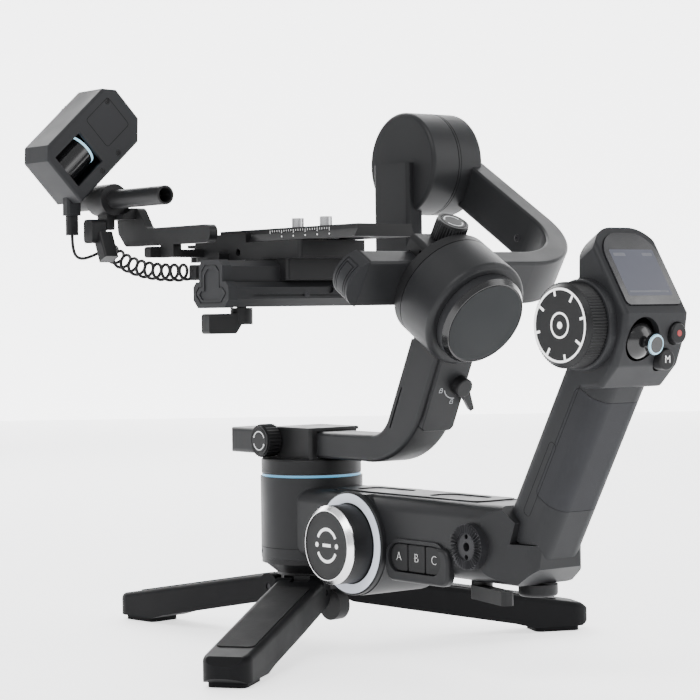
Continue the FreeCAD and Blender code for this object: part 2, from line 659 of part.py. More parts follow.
def tripod_hub():
    plate = rod(18.3, (0, 0, 35.8), (0, 0, 37.0))
    core = rod(9.5, (0, 0, 20.5), (0, 0, 36.5))
    core = softened(core, 2.5, Z_AXIS, 20.5)
    stud = rod(4.7, (0, 0, 36), (0, 0, 47))
    hub = plate.fuse(core).fuse(stud)
    for angle in LEG_ANGLES:
        stop = rod(STOP_RADIUS, (15.5, -STOP_HALF, 20.5), (15.5, STOP_HALF, 20.5))
        stop = stop.fuse(box(6, 16, -STOP_HALF, STOP_HALF, 18, 36.2))
        hub = hub.fuse(turned_about_z(stop, angle + 60))
        lug = box(4, LEG_PIN_RADIUS, -4.2, 4.2, 22.5, 36.2)
        lug = lug.fuse(rod(5.5, (LEG_PIN_RADIUS, -4.2, LEG_PIN_Z), (LEG_PIN_RADIUS, 4.2, LEG_PIN_Z)))
        lug = lug.cut(rod(1.6, (LEG_PIN_RADIUS, -9, LEG_PIN_Z), (LEG_PIN_RADIUS, 9, LEG_PIN_Z)))
        hub = hub.fuse(turned_about_z(lug, angle))
    return hub.removeSplitter()


def leg_bar():
    """One leg along +X: forked root round its pin, long tapering bar, foot end."""
    outline = (
        (LEG_PIN_RADIUS - 1.0, LEG_PIN_Z + LEG_CREST),
        (LEG_REACH - 5.0, TOE_TOP - 0.6),
        (LEG_REACH, 10.5),
        (LEG_REACH, 5.0),
        (LEG_REACH - 5.0, 2.6),
        (LEG_REACH - 32.0, 2.6),
        (LEG_REACH - 42.0, 5.2),
        (LEG_PIN_RADIUS - 1.0, LEG_PIN_Z - 7.0),
    )
    corners = [V(x, -LEG_HALF, z) for x, z in outline]
    bar = Part.Face(Part.makePolygon(corners + corners[:1])).extrude(V(0, 2 * LEG_HALF, 0))
    root = rod(7.0, (LEG_PIN_RADIUS, -LEG_HALF, LEG_PIN_Z), (LEG_PIN_RADIUS, LEG_HALF, LEG_PIN_Z))
    top_view = prism_z(((10, -LEG_HALF), (60, -LEG_HALF), (LEG_REACH, -11.6),
                        (LEG_REACH, 11.6), (60, LEG_HALF), (10, LEG_HALF)), -5, 50)
    toe = [edge for edge in edges_along(top_view, Z_AXIS) if edge.CenterOfMass.x > LEG_REACH - 1]
    bar = bar.common(top_view.makeFillet(TOE_RADIUS, toe))
    crest = []
    for edge in bar.Edges:
        middle = edge.CenterOfMass
        if abs(middle.y) > 11 and middle.z > 10 and edge.Length > 60:
            crest.append(edge)
    bar = bar.makeFillet(3.0, crest)
    leg = bar.fuse(root).removeSplitter()
    slot = box(10, LEG_PIN_RADIUS + 7.2, -4.6, 4.6, 10, 45)
    leg = leg.cut(slot)
    leg = leg.cut(rod(1.65, (LEG_PIN_RADIUS, -20, LEG_PIN_Z), (LEG_PIN_RADIUS, 20, LEG_PIN_Z)))
    leg = leg.cut(leg_pad_solid(0.1))
    return leg.cut(foot_solid(0.1))


def leg_pad_solid(grow):
    """Rubber panel let into the top of the leg, following its slope."""
    pad = box(18 - grow, 112 + grow, -9.2 - grow, 9.2 + grow, -1.6 - grow, 0.5 + 5 * grow)
    pad = rounded(pad, 3.0, Z_AXIS)
    crest = V(LEG_PIN_RADIUS - 1, 0, LEG_PIN_Z + LEG_CREST)
    return placed(pad, FreeCAD.Placement(crest, FreeCAD.Rotation(Y_AXIS, LEG_SLOPE)))


def foot_solid(grow):
    pad = box(LEG_REACH - 30 - grow, LEG_REACH - 6 + grow, -9.5 - grow, 9.5 + grow, 0.0 - grow, 4.2 + grow)
    return rounded(pad, 3.5, Z_AXIS)


def tripod_parts():
    save("tripod_hub", tripod_hub())
    pins = []
    for name, angle in zip(LEG_NAMES, LEG_ANGLES):
        save("leg_%s" % name, turned_about_z(leg_bar(), angle))
        pad = turned_about_z(leg_pad_solid(0), angle)
        foot = turned_about_z(foot_solid(0), angle)
        save("leg_%s_rubber" % name, pad, foot)
        reach = LEG_HALF - 0.6
        pin = rod(1.58, (LEG_PIN_RADIUS, -reach, LEG_PIN_Z), (LEG_PIN_RADIUS, reach, LEG_PIN_Z))
        pins.append(turned_about_z(pin, angle))
    save("leg_pins", *pins)


# ---- pan rotor, its clamp and the pan arm ------------------------------------


def pan_rotor():
    disc = softened(rod(25.6, (0, 0, ROTOR_BOTTOM), (0, 0, ROTOR_TOP)), 1.0, Z_AXIS, ROTOR_TOP)
    shaft = rod(5.9, (0, 0, 60), (0, 0, ROTOR_BOTTOM + 2))
    bell = tube(22.0, 21.4, (0, 0, 66), (0, 0, ROTOR_BOTTOM + 1))
    slot = rod(1.6, (-16.5, 15.0, 90.5), (-22.0, 20.0, 90.5))
    slot = slot.fuse(rod(1.6, (-16.5, 15.0, 92.6), (-22.0, 20.0, 92.6)))
    return disc.fuse(shaft).fuse(bell).removeSplitter().cut(slot)


def pan_clamp():
    """Channel that holds the pan arm, with its overhanging top plate."""
    block = rounded(box(-15.2, 15.2, -20, 19, ROTOR_TOP - 0.5, ARM_TOP + 1.2), 2.0, Z_AXIS)
    plate = box(-15.7, 15.7, -21, 12, ARM_TOP + 0.5, ARM_TOP + 2.0)
    plate = softened(rounded(plate, 2.0, Z_AXIS), 0.6, Z_AXIS, ARM_TOP + 2.0)
    clamp = block.fuse(plate).removeSplitter()
    clamp = clamp.cut(box(-ARM_HALF - 0.06, ARM_HALF + 0.06, -40, 40, ARM_BOTTOM - 0.06, ARM_TOP + 0.06))
    return clamp.cut(rod(2.55, (-30, PAN_KNOB_Y, PAN_KNOB_Z), (-10, PAN_KNOB_Y, PAN_KNOB_Z)))


def clamp_knob(x0, x1, y, z):
    """Fluted thumb screw along X, its head between x0 and x1."""
    head = knurled_disc(8.5, 0.5, 28, x0 + 0.9, x1, y, z)
    face = rod(7.6, (x0, y, z), (x0 + 1.2, y, z))
    face = face.cut(tube(6.6, 6.1, (x0 - 1, y, z), (x0 + 0.4, y, z)))
    return head.fuse(face)


def pan_arm_outline(inset):
    """Closed side outline of the pan arm as straight runs and arcs."""
    lean = math.radians(ARM_LEAN)
    rise = V(0, -math.sin(lean), math.cos(lean))
    back = V(0, -math.cos(lean), -math.sin(lean))
    bottom = ARM_BOTTOM + inset
    top = ARM_TOP - inset
    inner_foot = V(0, *ARM_INNER_FOOT) + back * inset
    outer_foot = V(0, *ARM_BACK_FOOT) - back * inset
    inner_top = inner_foot + rise * 62.0
    outer_top = outer_foot + rise * 62.0
    inner_start = V(0, -64.0, top)
    inner_end = inner_foot + rise * 9.0
    outer_start = V(0, -57.0, bottom)
    outer_end = outer_foot + rise * 8.0
    inner_mid = (inner_start + inner_end) * 0.5 + V(0, -1.5, -1.6)
    outer_mid = V(0, -83.0 + inset * 0.7, 101.0 + inset * 0.7)
    front = V(0, ARM_FRONT - inset, 0)
    front_low = V(0, front.y, bottom)
    front_high = V(0, front.y, top)
    edges = [
        Part.LineSegment(front_low, outer_start).toShape(),
        Part.Arc(outer_start, outer_mid, outer_end).toShape(),
        Part.LineSegment(outer_end, outer_top).toShape(),
        Part.LineSegment(outer_top, inner_top).toShape(),
        Part.LineSegment(inner_top, inner_end).toShape(),
        Part.Arc(inner_end, inner_mid, inner_start).toShape(),
        Part.LineSegment(inner_start, front_high).toShape(),
        Part.LineSegment(front_high, front_low).toShape(),
    ]
    return Part.Wire(edges)


def pan_arm():
    profile = Part.Face(pan_arm_outline(0))
    profile.translate(V(-ARM_HALF, 0, 0))
    arm = profile.extrude(V(2 * ARM_HALF, 0, 0))
    arm = softened(arm, 2.0, X_AXIS, -ARM_HALF, ARM_HALF)
    hollow = Part.Face(pan_arm_outline(3.0))
    hollow.translate(V(-ARM_HALF + 3.0, 0, 0))
    hollow = hollow.extrude(V(2 * ARM_HALF - 6.0, 0, 0))
    arm = arm.cut(hollow)
    housing = roll_rod(ROLL_RADIUS, MOTOR_REAR, MOTOR_FRONT)
    housing = softened(housing, 2.6, ROLL_BACK, -roll_station(MOTOR_REAR))
    cover = rounded(box(-ARM_HALF + 1.8, ARM_HALF - 0.6, -COVER_RISE, 2.0, 1, 44), 3.0, Y_AXIS)
    cover = placed(softened(cover, 0.6, Y_AXIS, -COVER_RISE), ARM_BACK_FRAME)
    port_lid = placed(rounded(box(-8.0, 8.0, -0.5, 1.6, 7, 30), 2.0, Y_AXIS), ARM_INNER_FRAME)
    joined = arm.fuse(housing).fuse(cover).fuse(port_lid).removeSplitter()
    port_slot = box(-ARM_HALF - 1, -ARM_HALF + 0.8, -4.4, -3.4, 5, 27)
    joined = joined.cut(placed(port_slot, ARM_INNER_FRAME))
    joined = joined.cut(roll_rod(ROLL_RADIUS + 2.0, MOTOR_FRONT, MOTOR_FRONT + 30))
    joined = joined.cut(roll_rod(ROLL_RADIUS - WALL, MOTOR_REAR + 2.0, MOTOR_FRONT + 1))
    joined = joined.cut(roll_rod(CAP_RADIUS + 0.15, MOTOR_REAR - 1, MOTOR_REAR + 1.2))
    return joined.cut(placed(rod(2.55, (LOCK_X, -4.0, LOCK_UP), (LOCK_X, 6.0, LOCK_UP)), ARM_BACK_FRAME))


def roll_motor_cap():
    """Stepped rear cover of the roll motor, with a bevelled rim round its flat face."""
    shoulder = CAP_AT + 2.4
    cap = rod(CAP_RADIUS, (0, shoulder, 0), (0, MOTOR_REAR + 1.1, 0))
    cap = cap.fuse(Part.makeCone(CAP_RADIUS - 1.6, CAP_RADIUS, shoulder - CAP_AT, V(0, CAP_AT, 0), Y_AXIS))
    cap = cap.cut(tube(20.6, 20.2, (0, CAP_AT - 1, 0), (0, CAP_AT + 0.3, 0)))
    return placed(cap.removeSplitter(), ROLL_FRAME)


def roll_station(at):
    """Distance of a roll-axis station from the plane through the world origin."""
    return -(V(0, 0, GIMBAL_Z).dot(ROLL_BACK) + at)


def roll_rod(radius, y0, y1):
    return placed(rod(radius, (0, y0, 0), (0, y1, 0)), ROLL_FRAME)


def pan_arm_parts():
    save("pan_rotor", pan_rotor().fuse(pan_clamp()).removeSplitter())
    stud = rod(2.5, (-17, PAN_KNOB_Y, PAN_KNOB_Z), (-11.6, PAN_KNOB_Y, PAN_KNOB_Z))
    knob = clamp_knob(-24.5, -16.2, PAN_KNOB_Y, PAN_KNOB_Z).fuse(stud)
    save("pan_clamp_knob", knob.removeSplitter())
    save("pan_arm", pan_arm())
    save("roll_motor_cap", roll_motor_cap())
    save("roll_motor_core", roll_tube(15.0, 6.9, -152.1, -138.0), roll_tube(6.8, 4.0, -144.0, -138.5))
    save("roll_lock_lever", roll_lock_lever())


def roll_tube(outer, inner, y0, y1):
    return roll_rod(outer, y0, y1).cut(roll_rod(inner, y0, y1))


def roll_lock_lever():
    low = -COVER_RISE - 0.5
    hub = rod(4.8, (LOCK_X, low - 4.5, LOCK_UP), (LOCK_X, low, LOCK_UP))
    hub = softened(hub, 0.8, Y_AXIS, low - 4.5)
    pin = rod(2.5, (LOCK_X, low - 0.5, LOCK_UP), (LOCK_X, 5.0, LOCK_UP))
    blade = prism_y(((-2.6, 0), (2.6, 0), (1.1, -15.0), (-1.1, -15.0)), low - 4.0, low - 1.2)
    blade.rotate(V(0, 0, 0), Y_AXIS, -38)
    blade.translate(V(LOCK_X, 0, LOCK_UP))
    return placed(hub.fuse(pin).fuse(blade).removeSplitter(), ARM_BACK_FRAME)


# ---- roll rotor, its clamp and the roll arm ----------------------------------


def roll_rotor():
    disc = roll_rod(ROLL_RADIUS, MOTOR_FRONT + GAP, BAR_REAR - 0.3)
    shaft = roll_rod(3.95, -150.0, MOTOR_FRONT + 2)
    return disc.fuse(shaft).removeSplitter()


def roll_clamp():
    """Channel on the rotor's face that the roll arm slides through."""
    block = box(-17, 17, BAR_REAR - 0.4, BAR_FRONT + 2.4, -BAR_HALF - 2.4, BAR_HALF + 7.5)
    block = rounded(block, 2.5, Y_AXIS)
    arm_way = box(-60, 60, BAR_REAR - 0.06, BAR_FRONT + 0.06, -BAR_HALF - 0.06, BAR_HALF + 0.06)
    slit = box(-60, 60, BAR_REAR + 3.4, BAR_REAR + 5.0, BAR_HALF, BAR_HALF + 4.0)
    open_front = box(-60, 60, BAR_FRONT - 1, BAR_FRONT + 5, -6.5, 6.5)
    channel = block.cut(arm_way).cut(slit).cut(open_front)
    screw_way = rod(2.55, (0, ROLL_KNOB_AT, BAR_HALF), (0, ROLL_KNOB_AT, BAR_HALF + 10))
    return placed(channel.cut(screw_way), ROLL_FRAME)


def fluted_post(radius, depth, count, z0, z1, x, y):
    points = []
    for i in range(2 * count):
        angle = math.pi * i / count
        reach = radius - depth * (i % 2)
        points.append((x + reach * math.cos(angle), y + reach * math.sin(angle)))
    return prism_z(points, z0, z1)


def roll_clamp_knob():
    y = ROLL_KNOB_AT
    low = BAR_HALF + 8.1
    head = fluted_post(8.0, 0.5, 36, low, low + 8.6, 0, y)
    face = rod(7.6, (0, y, low + 8.5), (0, y, low + 9.8))
    face = face.cut(tube(6.4, 5.9, (0, y, low + 9.4), (0, y, low + 12)))
    stud = rod(2.5, (0, y, BAR_HALF + 0.6), (0, y, low + 1))
    return placed(head.fuse(face).fuse(stud).removeSplitter(), ROLL_FRAME)


def roll_arm_centre(offset):
    """Outline of the arm seen along the local z axis, grown inward by `offset`."""
    outer = CORNER_OUTER - offset
    inner_radius = CORNER_OUTER - (LEG_OUTER - LEG_INNER) + offset
    centre = V(LEG_OUTER - CORNER_OUTER, BAR_REAR + CORNER_OUTER, 0)
    diagonal = math.sqrt(0.5)
    inner_centre = V(centre.x, BAR_FRONT + inner_radius - offset, 0)
    outer_low = V(centre.x, BAR_REAR + offset, 0)
    outer_mid = centre + V(diagonal * outer, -diagonal * outer, 0)
    outer_high = V(LEG_OUTER - offset, centre.y, 0)
    inner_low = V(inner_centre.x, BAR_FRONT - offset, 0)
    inner_mid = inner_centre + V(diagonal * inner_radius, -diagonal * inner_radius, 0)
    inner_high = V(inner_centre.x + inner_radius, inner_centre.y, 0)
    tip_outer = V(LEG_OUTER - offset, -10.0, 0)
    tip_inner = V(inner_high.x, -10.0, 0)
    left_rear = V(BAR_LEFT + offset, BAR_REAR + offset, 0)
    left_front = V(BAR_LEFT + offset, BAR_FRONT - offset, 0)
    return Part.Wire([
        Part.LineSegment(left_rear, outer_low).toShape(),
        Part.Arc(outer_low, outer_mid, outer_high).toShape(),
        Part.LineSegment(outer_high, tip_outer).toShape(),
        Part.LineSegment(tip_outer, tip_inner).toShape(),
        Part.LineSegment(tip_inner, inner_high).toShape(),
        Part.Arc(inner_high, inner_mid, inner_low).toShape(),
        Part.LineSegment(inner_low, left_front).toShape(),
        Part.LineSegment(left_front, left_rear).toShape(),
    ])


def roll_arm():
    face = Part.Face(roll_arm_centre(0))
    face.translate(V(0, 0, -BAR_HALF))
    arm = face.extrude(V(0, 0, 2 * BAR_HALF))
    arm = softened(arm, 1.6, Z_AXIS, -BAR_HALF, BAR_HALF)
    hollow = Part.Face(roll_arm_centre(2.6))
    hollow.translate(V(0, 0, -BAR_HALF + 2.8))
    arm = arm.cut(hollow.extrude(V(0, 0, 2 * BAR_HALF - 5.6)))
    housing = rod(TILT_RADIUS, (TILT_SPLIT + GAP, 0, 0), (TILT_OUTER, 0, 0))
    housing = softened(housing, 2.5, X_AXIS, TILT_OUTER)
    shell = arm.fuse(housing).removeSplitter()
    shell = shell.cut(rod(TILT_RADIUS - WALL, (TILT_SPLIT, 0, 0), (TILT_OUTER - WALL, 0, 0)))
    return placed(largest(shell), ROLL_FRAME)


def roll_arm_cap():
    """Ridged end cap, curved across the bar."""
    top = V(BAR_LEFT - 0.1, 0, BAR_HALF)
    bulge = V(BAR_LEFT - 8.5, 0, -2.0)
    bottom = V(BAR_LEFT - 0.1, 0, -BAR_HALF)
    wire = Part.Wire([
        Part.Arc(top, bulge, bottom).toShape(),
        Part.LineSegment(bottom, top).toShape(),
    ])
    face = Part.Face(wire)
    face.translate(V(0, BAR_REAR, 0))
    cap = face.extrude(V(0, BAR_FRONT - BAR_REAR, 0))
    for inset in (1.6, 3.0):
        height = BAR_HALF - inset - 1
        outer = box(-80, BAR_LEFT - 2, BAR_REAR + inset, BAR_FRONT - inset, -height, height)
        inner = box(-80, BAR_LEFT - 2, BAR_REAR + inset + 0.5, BAR_FRONT - inset - 0.5,
                    -BAR_HALF + inset + 1.5, BAR_HALF - inset - 1.5)
        skin = cap.cut(cap.translated(V(0.5, 0, 0)))
        cap = cap.cut(outer.cut(inner).common(skin))
    return placed(largest(cap), ROLL_FRAME)


def roll_arm_parts():
    save("roll_rotor", roll_rotor().fuse(roll_clamp()).removeSplitter())
    save("roll_clamp_knob", roll_clamp_knob())
    save("roll_arm", roll_arm())
    save("roll_arm_cap", roll_arm_cap())
    stator = tube(20.0, 7.1, (TILT_SPLIT + 2, 0, 0), (TILT_OUTER - WALL, 0, 0))
    bearing = tube(7.0, 4.1, (TILT_SPLIT + 2, 0, 0), (TILT_SPLIT + 8, 0, 0))
    save("tilt_motor_core", placed(stator, ROLL_FRAME), placed(bearing, ROLL_FRAME))


# ---- tilt rotor, camera rail, base and plate ---------------------------------


def rail_section(grow):
    y = RAIL_Y
    low = RAIL_LOWER_HALF + grow
    high = RAIL_UPPER_HALF + grow
    bottom = RAIL_BOTTOM - grow
    step = RAIL_STEP + grow
    top = RAIL_TOP + grow
    return (
        (y - low, bottom + 4.0), (y - low + 4.0, bottom), (y + low - 4.0, bottom), (y + low, bottom + 4.0),
        (y + low, step - 2.5), (y + low - 2.5, step), (y + high, step), (y + high, top - 3.0),
        (y + high - 3.0, top), (y - high + 3.0, top), (y - high, top - 3.0), (y - high, step),
        (y - low + 2.5, step), (y - low, step - 2.5),
    )


def tilt_frame_part():
    """Rotor disc, upright arm and the rail that carries the camera base."""
    disc = rod(TILT_RADIUS, (TILT_INNER, 0, GIMBAL_Z), (TILT_SPLIT, 0, GIMBAL_Z))
    disc = softened(disc, 2.0, X_AXIS, TILT_INNER)
    shaft = rod(4.0, (TILT_SPLIT - 2, 0, GIMBAL_Z), (TILT_SPLIT + 9, 0, GIMBAL_Z))
    upright = box(TILT_INNER - 4.0, TILT_INNER + 6.5, RAIL_Y - 14.5, RAIL_Y + 14.5, RAIL_BOTTOM + 6, GIMBAL_Z)
    upright = rounded(upright, 2.0, Z_AXIS)
    rail = prism_x(rail_section(0), RAIL_LEFT, TILT_INNER + 6.5)
    hollow = box(RAIL_LEFT + 3, TILT_INNER, RAIL_Y - 12.0, RAIL_Y + 12.0, RAIL_BOTTOM + 3.2, RAIL_STEP - 2.6)
    whole = disc.fuse(shaft).fuse(upright).fuse(rail).removeSplitter().cut(hollow)
    groove_y = RAIL_Y - RAIL_LOWER_HALF
    whole = whole.cut(box(RAIL_LEFT + 10, 50, groove_y - 1, groove_y + 0.9, 177.5, 178.5))
    whole = whole.cut(rod(1.9, (6.0, groove_y - 1, 180.8), (6.0, groove_y + 1.4, 180.8)))
    post_hole = rod(2.55, (RAIL_LEVER_X, RAIL_Y, RAIL_BOTTOM - 1), (RAIL_LEVER_X, RAIL_Y, RAIL_BOTTOM + 4))
    whole = whole.cut(post_hole)
    return whole


def rail_end_cap():
    cap = prism_x(rail_section(0.4), RAIL_LEFT - 5.5, RAIL_LEFT - 0.1)
    for inset in (2.0, 3.6):
        ring = prism_x(rail_section(-inset), RAIL_LEFT - 6, RAIL_LEFT - 5.0)
        ring = ring.cut(prism_x(rail_section(-inset - 0.6), RAIL_LEFT - 7, RAIL_LEFT - 4))
        cap = cap.cut(ring)
    return cap


def camera_base():
    """Sliding saddle on the rail with the jaws that hold the camera plate."""
    saddle = box(-22.0, 18.0, RAIL_Y - 16.0, RAIL_Y + 22.0, RAIL_STEP + 1.0, PLATE_BOTTOM - 2.4)
    saddle = rounded(saddle, 2.0, Z_AXIS)
    keep_rail = prism_x(rail_section(0.06), -40, 40)
    deck = rounded(box(-23.0, 19.0, BASE_REAR, BASE_FRONT, RAIL_TOP + 1.0, PLATE_BOTTOM - 0.3), 2.0, Z_AXIS)
    jaw_left = jaw(-PLATE_HALF + PLATE_X - 2.0, 1)
    jaw_right = jaw(PLATE_HALF + PLATE_X + 2.0, -1)
    skirt = rounded(box(-16.0, 12.0, RAIL_Y + 18.5, 49.0, 182.0, RAIL_TOP + 4.0), 2.0, X_AXIS)
    x, y, z = CURL_ROUTE[-1]
    inlet = rounded(box(x + PLUG_LENGTH, -14.0, y - 5.5, y + 5.5, z - 6.0, RAIL_TOP + 5.0), 1.0, X_AXIS)
    base = saddle.fuse(deck).fuse(jaw_left).fuse(jaw_right).fuse(skirt).fuse(inlet).removeSplitter()
    base = base.cut(keep_rail)
    base = base.cut(box(x, x + PLUG_LENGTH + 6.2, y - 1.45, y + 1.45, z - 3.25, z + 3.25))
    base = base.cut(box(-30, 30, RAIL_Y - 18.0, RAIL_Y + 18.0, 150, RAIL_STEP + 0.3))
    base = base.cut(box(-9, 5, 51, 61, RAIL_TOP - 2, PLATE_BOTTOM - 3.0))
    base = base.cut(box(-24, -11.95, 61.95, 69.55, 198.95, 203.05))
    ear = rounded(box(-22.6, -13.4, 68.0, 79.2, 204.0, 205.6), 2.0, Z_AXIS)
    post = rod(2.0, (LATCH_X, LATCH_Y, 196.4), (LATCH_X, LATCH_Y, 204.5))
    base = base.fuse(ear).fuse(post).removeSplitter()
    base = base.cut(rod(2.0, (-30, 30, 200.5), (-20, 30, 200.5)))
    return largest(base)


def jaw(x, inward):
    """One dovetail jaw; `inward` points at the plate."""
    jaw_points = (
        (x, RAIL_TOP + 5.0),
        (x + inward * 4.2, RAIL_TOP + 5.0),
        (x + inward * 4.2, PLATE_BOTTOM - 0.35),
        (x + inward * 1.75, PLATE_BOTTOM - 0.35),
        (x + inward * 3.6, PLATE_BOTTOM + 3.0),
        (x + inward * 3.6, PLATE_BOTTOM + 4.4),
        (x, PLATE_BOTTOM + 4.4),
    )
    return prism_y(jaw_points, BASE_REAR + 47.0, BASE_FRONT)


def camera_plate():
    half = PLATE_HALF
    points = (
        (PLATE_X - half, PLATE_BOTTOM),
        (PLATE_X + half, PLATE_BOTTOM),
        (PLATE_X + half - 2.2, PLATE_BOTTOM + 3.8),
        (PLATE_X + half - 2.2, PLATE_TOP),
        (PLATE_X - half + 2.2, PLATE_TOP),
        (PLATE_X - half + 2.2, PLATE_BOTTOM + 3.8),
    )
    plate = prism_y(points, PLATE_REAR, PLATE_FRONT)
    slot = rounded(box(PLATE_X - 3.3, PLATE_X + 3.3, -38, 24, PLATE_BOTTOM - 1, PLATE_TOP + 1), 3.2, Z_AXIS)
    plate = plate.cut(slot)
    groove = box(PLATE_X - 8, PLATE_X + 8, -48, 34, PLATE_BOTTOM - 1, PLATE_BOTTOM + 2.6)
    groove = rounded(groove, 3.0, Z_AXIS)
    plate = plate.cut(groove)
    return plate


def camera_screws():
    screws = []
    for y in (-18.0, 6.0):
        shank = rod(2.9, (PLATE_X, y, PLATE_BOTTOM + 2.0), (PLATE_X, y, PLATE_TOP + 1.0))
        thread = rod(3.17, (PLATE_X, y, PLATE_TOP + 0.2), (PLATE_X, y, PLATE_TOP + 5.5))
        head = rod(6.6, (PLATE_X, y, PLATE_BOTTOM + 0.3), (PLATE_X, y, PLATE_BOTTOM + 2.5))
        head = head.cut(box(PLATE_X - 5, PLATE_X + 5, y - 0.6, y + 0.6, PLATE_BOTTOM, PLATE_BOTTOM + 1.3))
        screws.append(shank.fuse(thread).fuse(head).removeSplitter())
    return screws


def rail_lock_lever():
    x = RAIL_LEVER_X
    post = rod(5.6, (x, RAIL_Y, 163.5), (x, RAIL_Y, RAIL_BOTTOM - 0.4))
    blade = prism_y(((x - 22.0, 159.0), (x - 5.5, 159.0), (x - 2.0, 163.8), (x, 163.8), (x, 169.1),
                     (x - 22.0, 169.1)), RAIL_Y - 3.4, RAIL_Y + 3.4)
    blade = rounded(blade, 1.5, Y_AXIS)
    pin = rod(2.5, (x, RAIL_Y, 171.0), (x, RAIL_Y, RAIL_BOTTOM + 3.0))
    return post.fuse(blade).fuse(pin).removeSplitter()


def plate_lock_lever():
    hub = rod(4.0, (LATCH_X, LATCH_Y, 196.4), (LATCH_X, LATCH_Y, 203.6))
    blade = box(-50.0, LATCH_X, 71.8, 77.4, 199.4, 203.2)
    paddle = rounded(box(-50.0, -37.0, 71.6, 77.6, 199.0, 204.8), 1.5, Y_AXIS)
    lever = hub.fuse(blade).fuse(paddle).removeSplitter()
    return lever.cut(rod(2.05, (LATCH_X, LATCH_Y, 190), (LATCH_X, LATCH_Y, 210)))


def camera_mount_parts():
    save("tilt_rail", tilt_frame_part())
    save("rail_end_cap", rail_end_cap())
    save("rail_lock_lever", rail_lock_lever())
    save("camera_base", camera_base())
    save("plate_lock_lever", plate_lock_lever())
    save("camera_plate", camera_plate())
    save("camera_screws", *camera_screws())


# ---- follow focus on its rod -------------------------------------------------

def rod_bracket():
    """Angle plate from the camera base forward and up to the rod."""
    outline = ((24.0, 205.6), (24.0, 214.8), (84.0, 214.8), (92.5, 226.0), (114.0, 226.0),
               (112.5, 213.0), (105.0, 205.6))
    web = prism_x(outline, -44.5, -39.5)
    web = rounded(web, 4.0, X_AXIS)
    foot = box(-44.5, -12.0, 62.0, 69.5, 199.0, 203.0)
    upright = box(-44.5, -39.5, 58.0, 70.5, 199.0, 208.0)
    grab = box(-52.0, -39.5, 94.0, 112.0, 220.0, 226.0)
    bracket = web.fuse(foot).fuse(upright).fuse(grab).removeSplitter()
    return bracket.cut(rod(8.45, (ROD_X, 93, ROD_Z), (ROD_X, 117, ROD_Z)))


def motor_rod():
    """Hollow rod with a shallow stop groove just ahead of its clamp."""
    radius = ROD_RADIUS - 0.03
    bar = tube(radius, 3.9, (ROD_X, ROD_REAR, ROD_Z), (ROD_X, ROD_FRONT, ROD_Z))
    groove = tube(radius + 1, radius - 0.25, (ROD_X, ROD_GROOVE, ROD_Z), (ROD_X, ROD_GROOVE + 0.6, ROD_Z))
    return bar.cut(groove)


def rod_clamp():
    ring = tube(8.4, ROD_RADIUS, (ROD_X, 100, ROD_Z), (ROD_X, 116, ROD_Z))
    lug = box(ROD_X + 3.0, ROD_X + 9.4, 101, 115, 226.05, 229.5)
    ear = rounded(box(ROD_X - 3, ROD_X + 1.7, LEVER_Y - 5, LEVER_Y + 5, 214.6, 224.5), 1.2, X_AXIS)
    ear = ear.cut(rod(1.85, (ROD_X - 9, LEVER_Y, LEVER_Z), (ROD_X + 9, LEVER_Y, LEVER_Z)))
    lug = lug.cut(rod(ROD_RADIUS, (ROD_X, 90, ROD_Z), (ROD_X, 120, ROD_Z)))
    return ring.fuse(lug).fuse(ear).removeSplitter()


def rod_clamp_lever():
    """Cranked thumb lever that tightens the rod clamp."""
    hub = rod(1.8, (ROD_X - 9.5, LEVER_Y, LEVER_Z), (ROD_X + 1.9, LEVER_Y, LEVER_Z))
    upper = box(ROD_X - 12.0, ROD_X - 3.4, LEVER_Y - 4.5, LEVER_Y + 4.5, 207.5, 220.2)
    upper = rounded(upper, 2.5, X_AXIS)
    lower = box(-4.2, 4.2, -4.0, 4.0, -14.0, 0.6)
    lower = rounded(lower, 1.2, Z_AXIS)
    hanging = FreeCAD.Placement(V(ROD_X - 3.9, LEVER_Y - 2.0, 211.6), FreeCAD.Rotation(X_AXIS, -24))
    lower = placed(lower, hanging)
    return hub.fuse(upper).fuse(lower).removeSplitter()


def focus_box(x0, x1, y0, y1, z0, z1):
    return placed(box(x0, x1, y0, y1, z0, z1), FOCUS_FRAME)


def focus_outline(inset):
    """Outline of the motor case in its own frame, shrunk by `inset`."""
    long = FOCUS_HALF_LONG - inset
    short = FOCUS_HALF_SHORT - inset
    return ((-long, -short), (long - 9, -short), (long, -short + 9), (long, short - 6),
            (long - 6, short), (-long + 6, short), (-long, short - 6))


def focus_motor_body():
    """Motor case: a slab turned in its own plane, with a square window and a plug socket."""
    case = softened(prism_y(focus_outline(0), 0, FOCUS_DEPTH), 1.6, Y_AXIS, 0, FOCUS_DEPTH)
    x, y, top = LEAD_ROUTE[0]
    foot = top + 10.5
    socket_block = rounded(box(x - 4.2, x + 4.2, y - 3.4, y + 3.4, foot, foot + 15.0), 1.5, Z_AXIS)
    case = placed(case, FOCUS_FRAME).fuse(socket_block).removeSplitter()
    case = case.cut(placed(prism_y(focus_outline(2.4), 2.2, FOCUS_DEPTH - 2.2), FOCUS_FRAME))
    half = WINDOW_HALF
    case = case.cut(focus_box(WINDOW_X - half, WINDOW_X + half, -3, 9, -half, half))
    holes = [rod(2.6, (GEAR_X, FOCUS_DEPTH - 5, GEAR_Z), (GEAR_X, FOCUS_DEPTH + 5, GEAR_Z))]
    for screw_x, screw_z in ((20.0, 11.0), (6.0, -13.4), (-8.0, -13.8)):
        holes.append(rod(1.5, (screw_x, -1, screw_z), (screw_x, 1.2, screw_z)))
    for hole in holes:
        case = case.cut(placed(hole, FOCUS_FRAME))
    return largest(case.cut(box(x - 2.45, x + 2.45, y - 1.25, y + 1.25, foot - 1, foot + 6.2)))


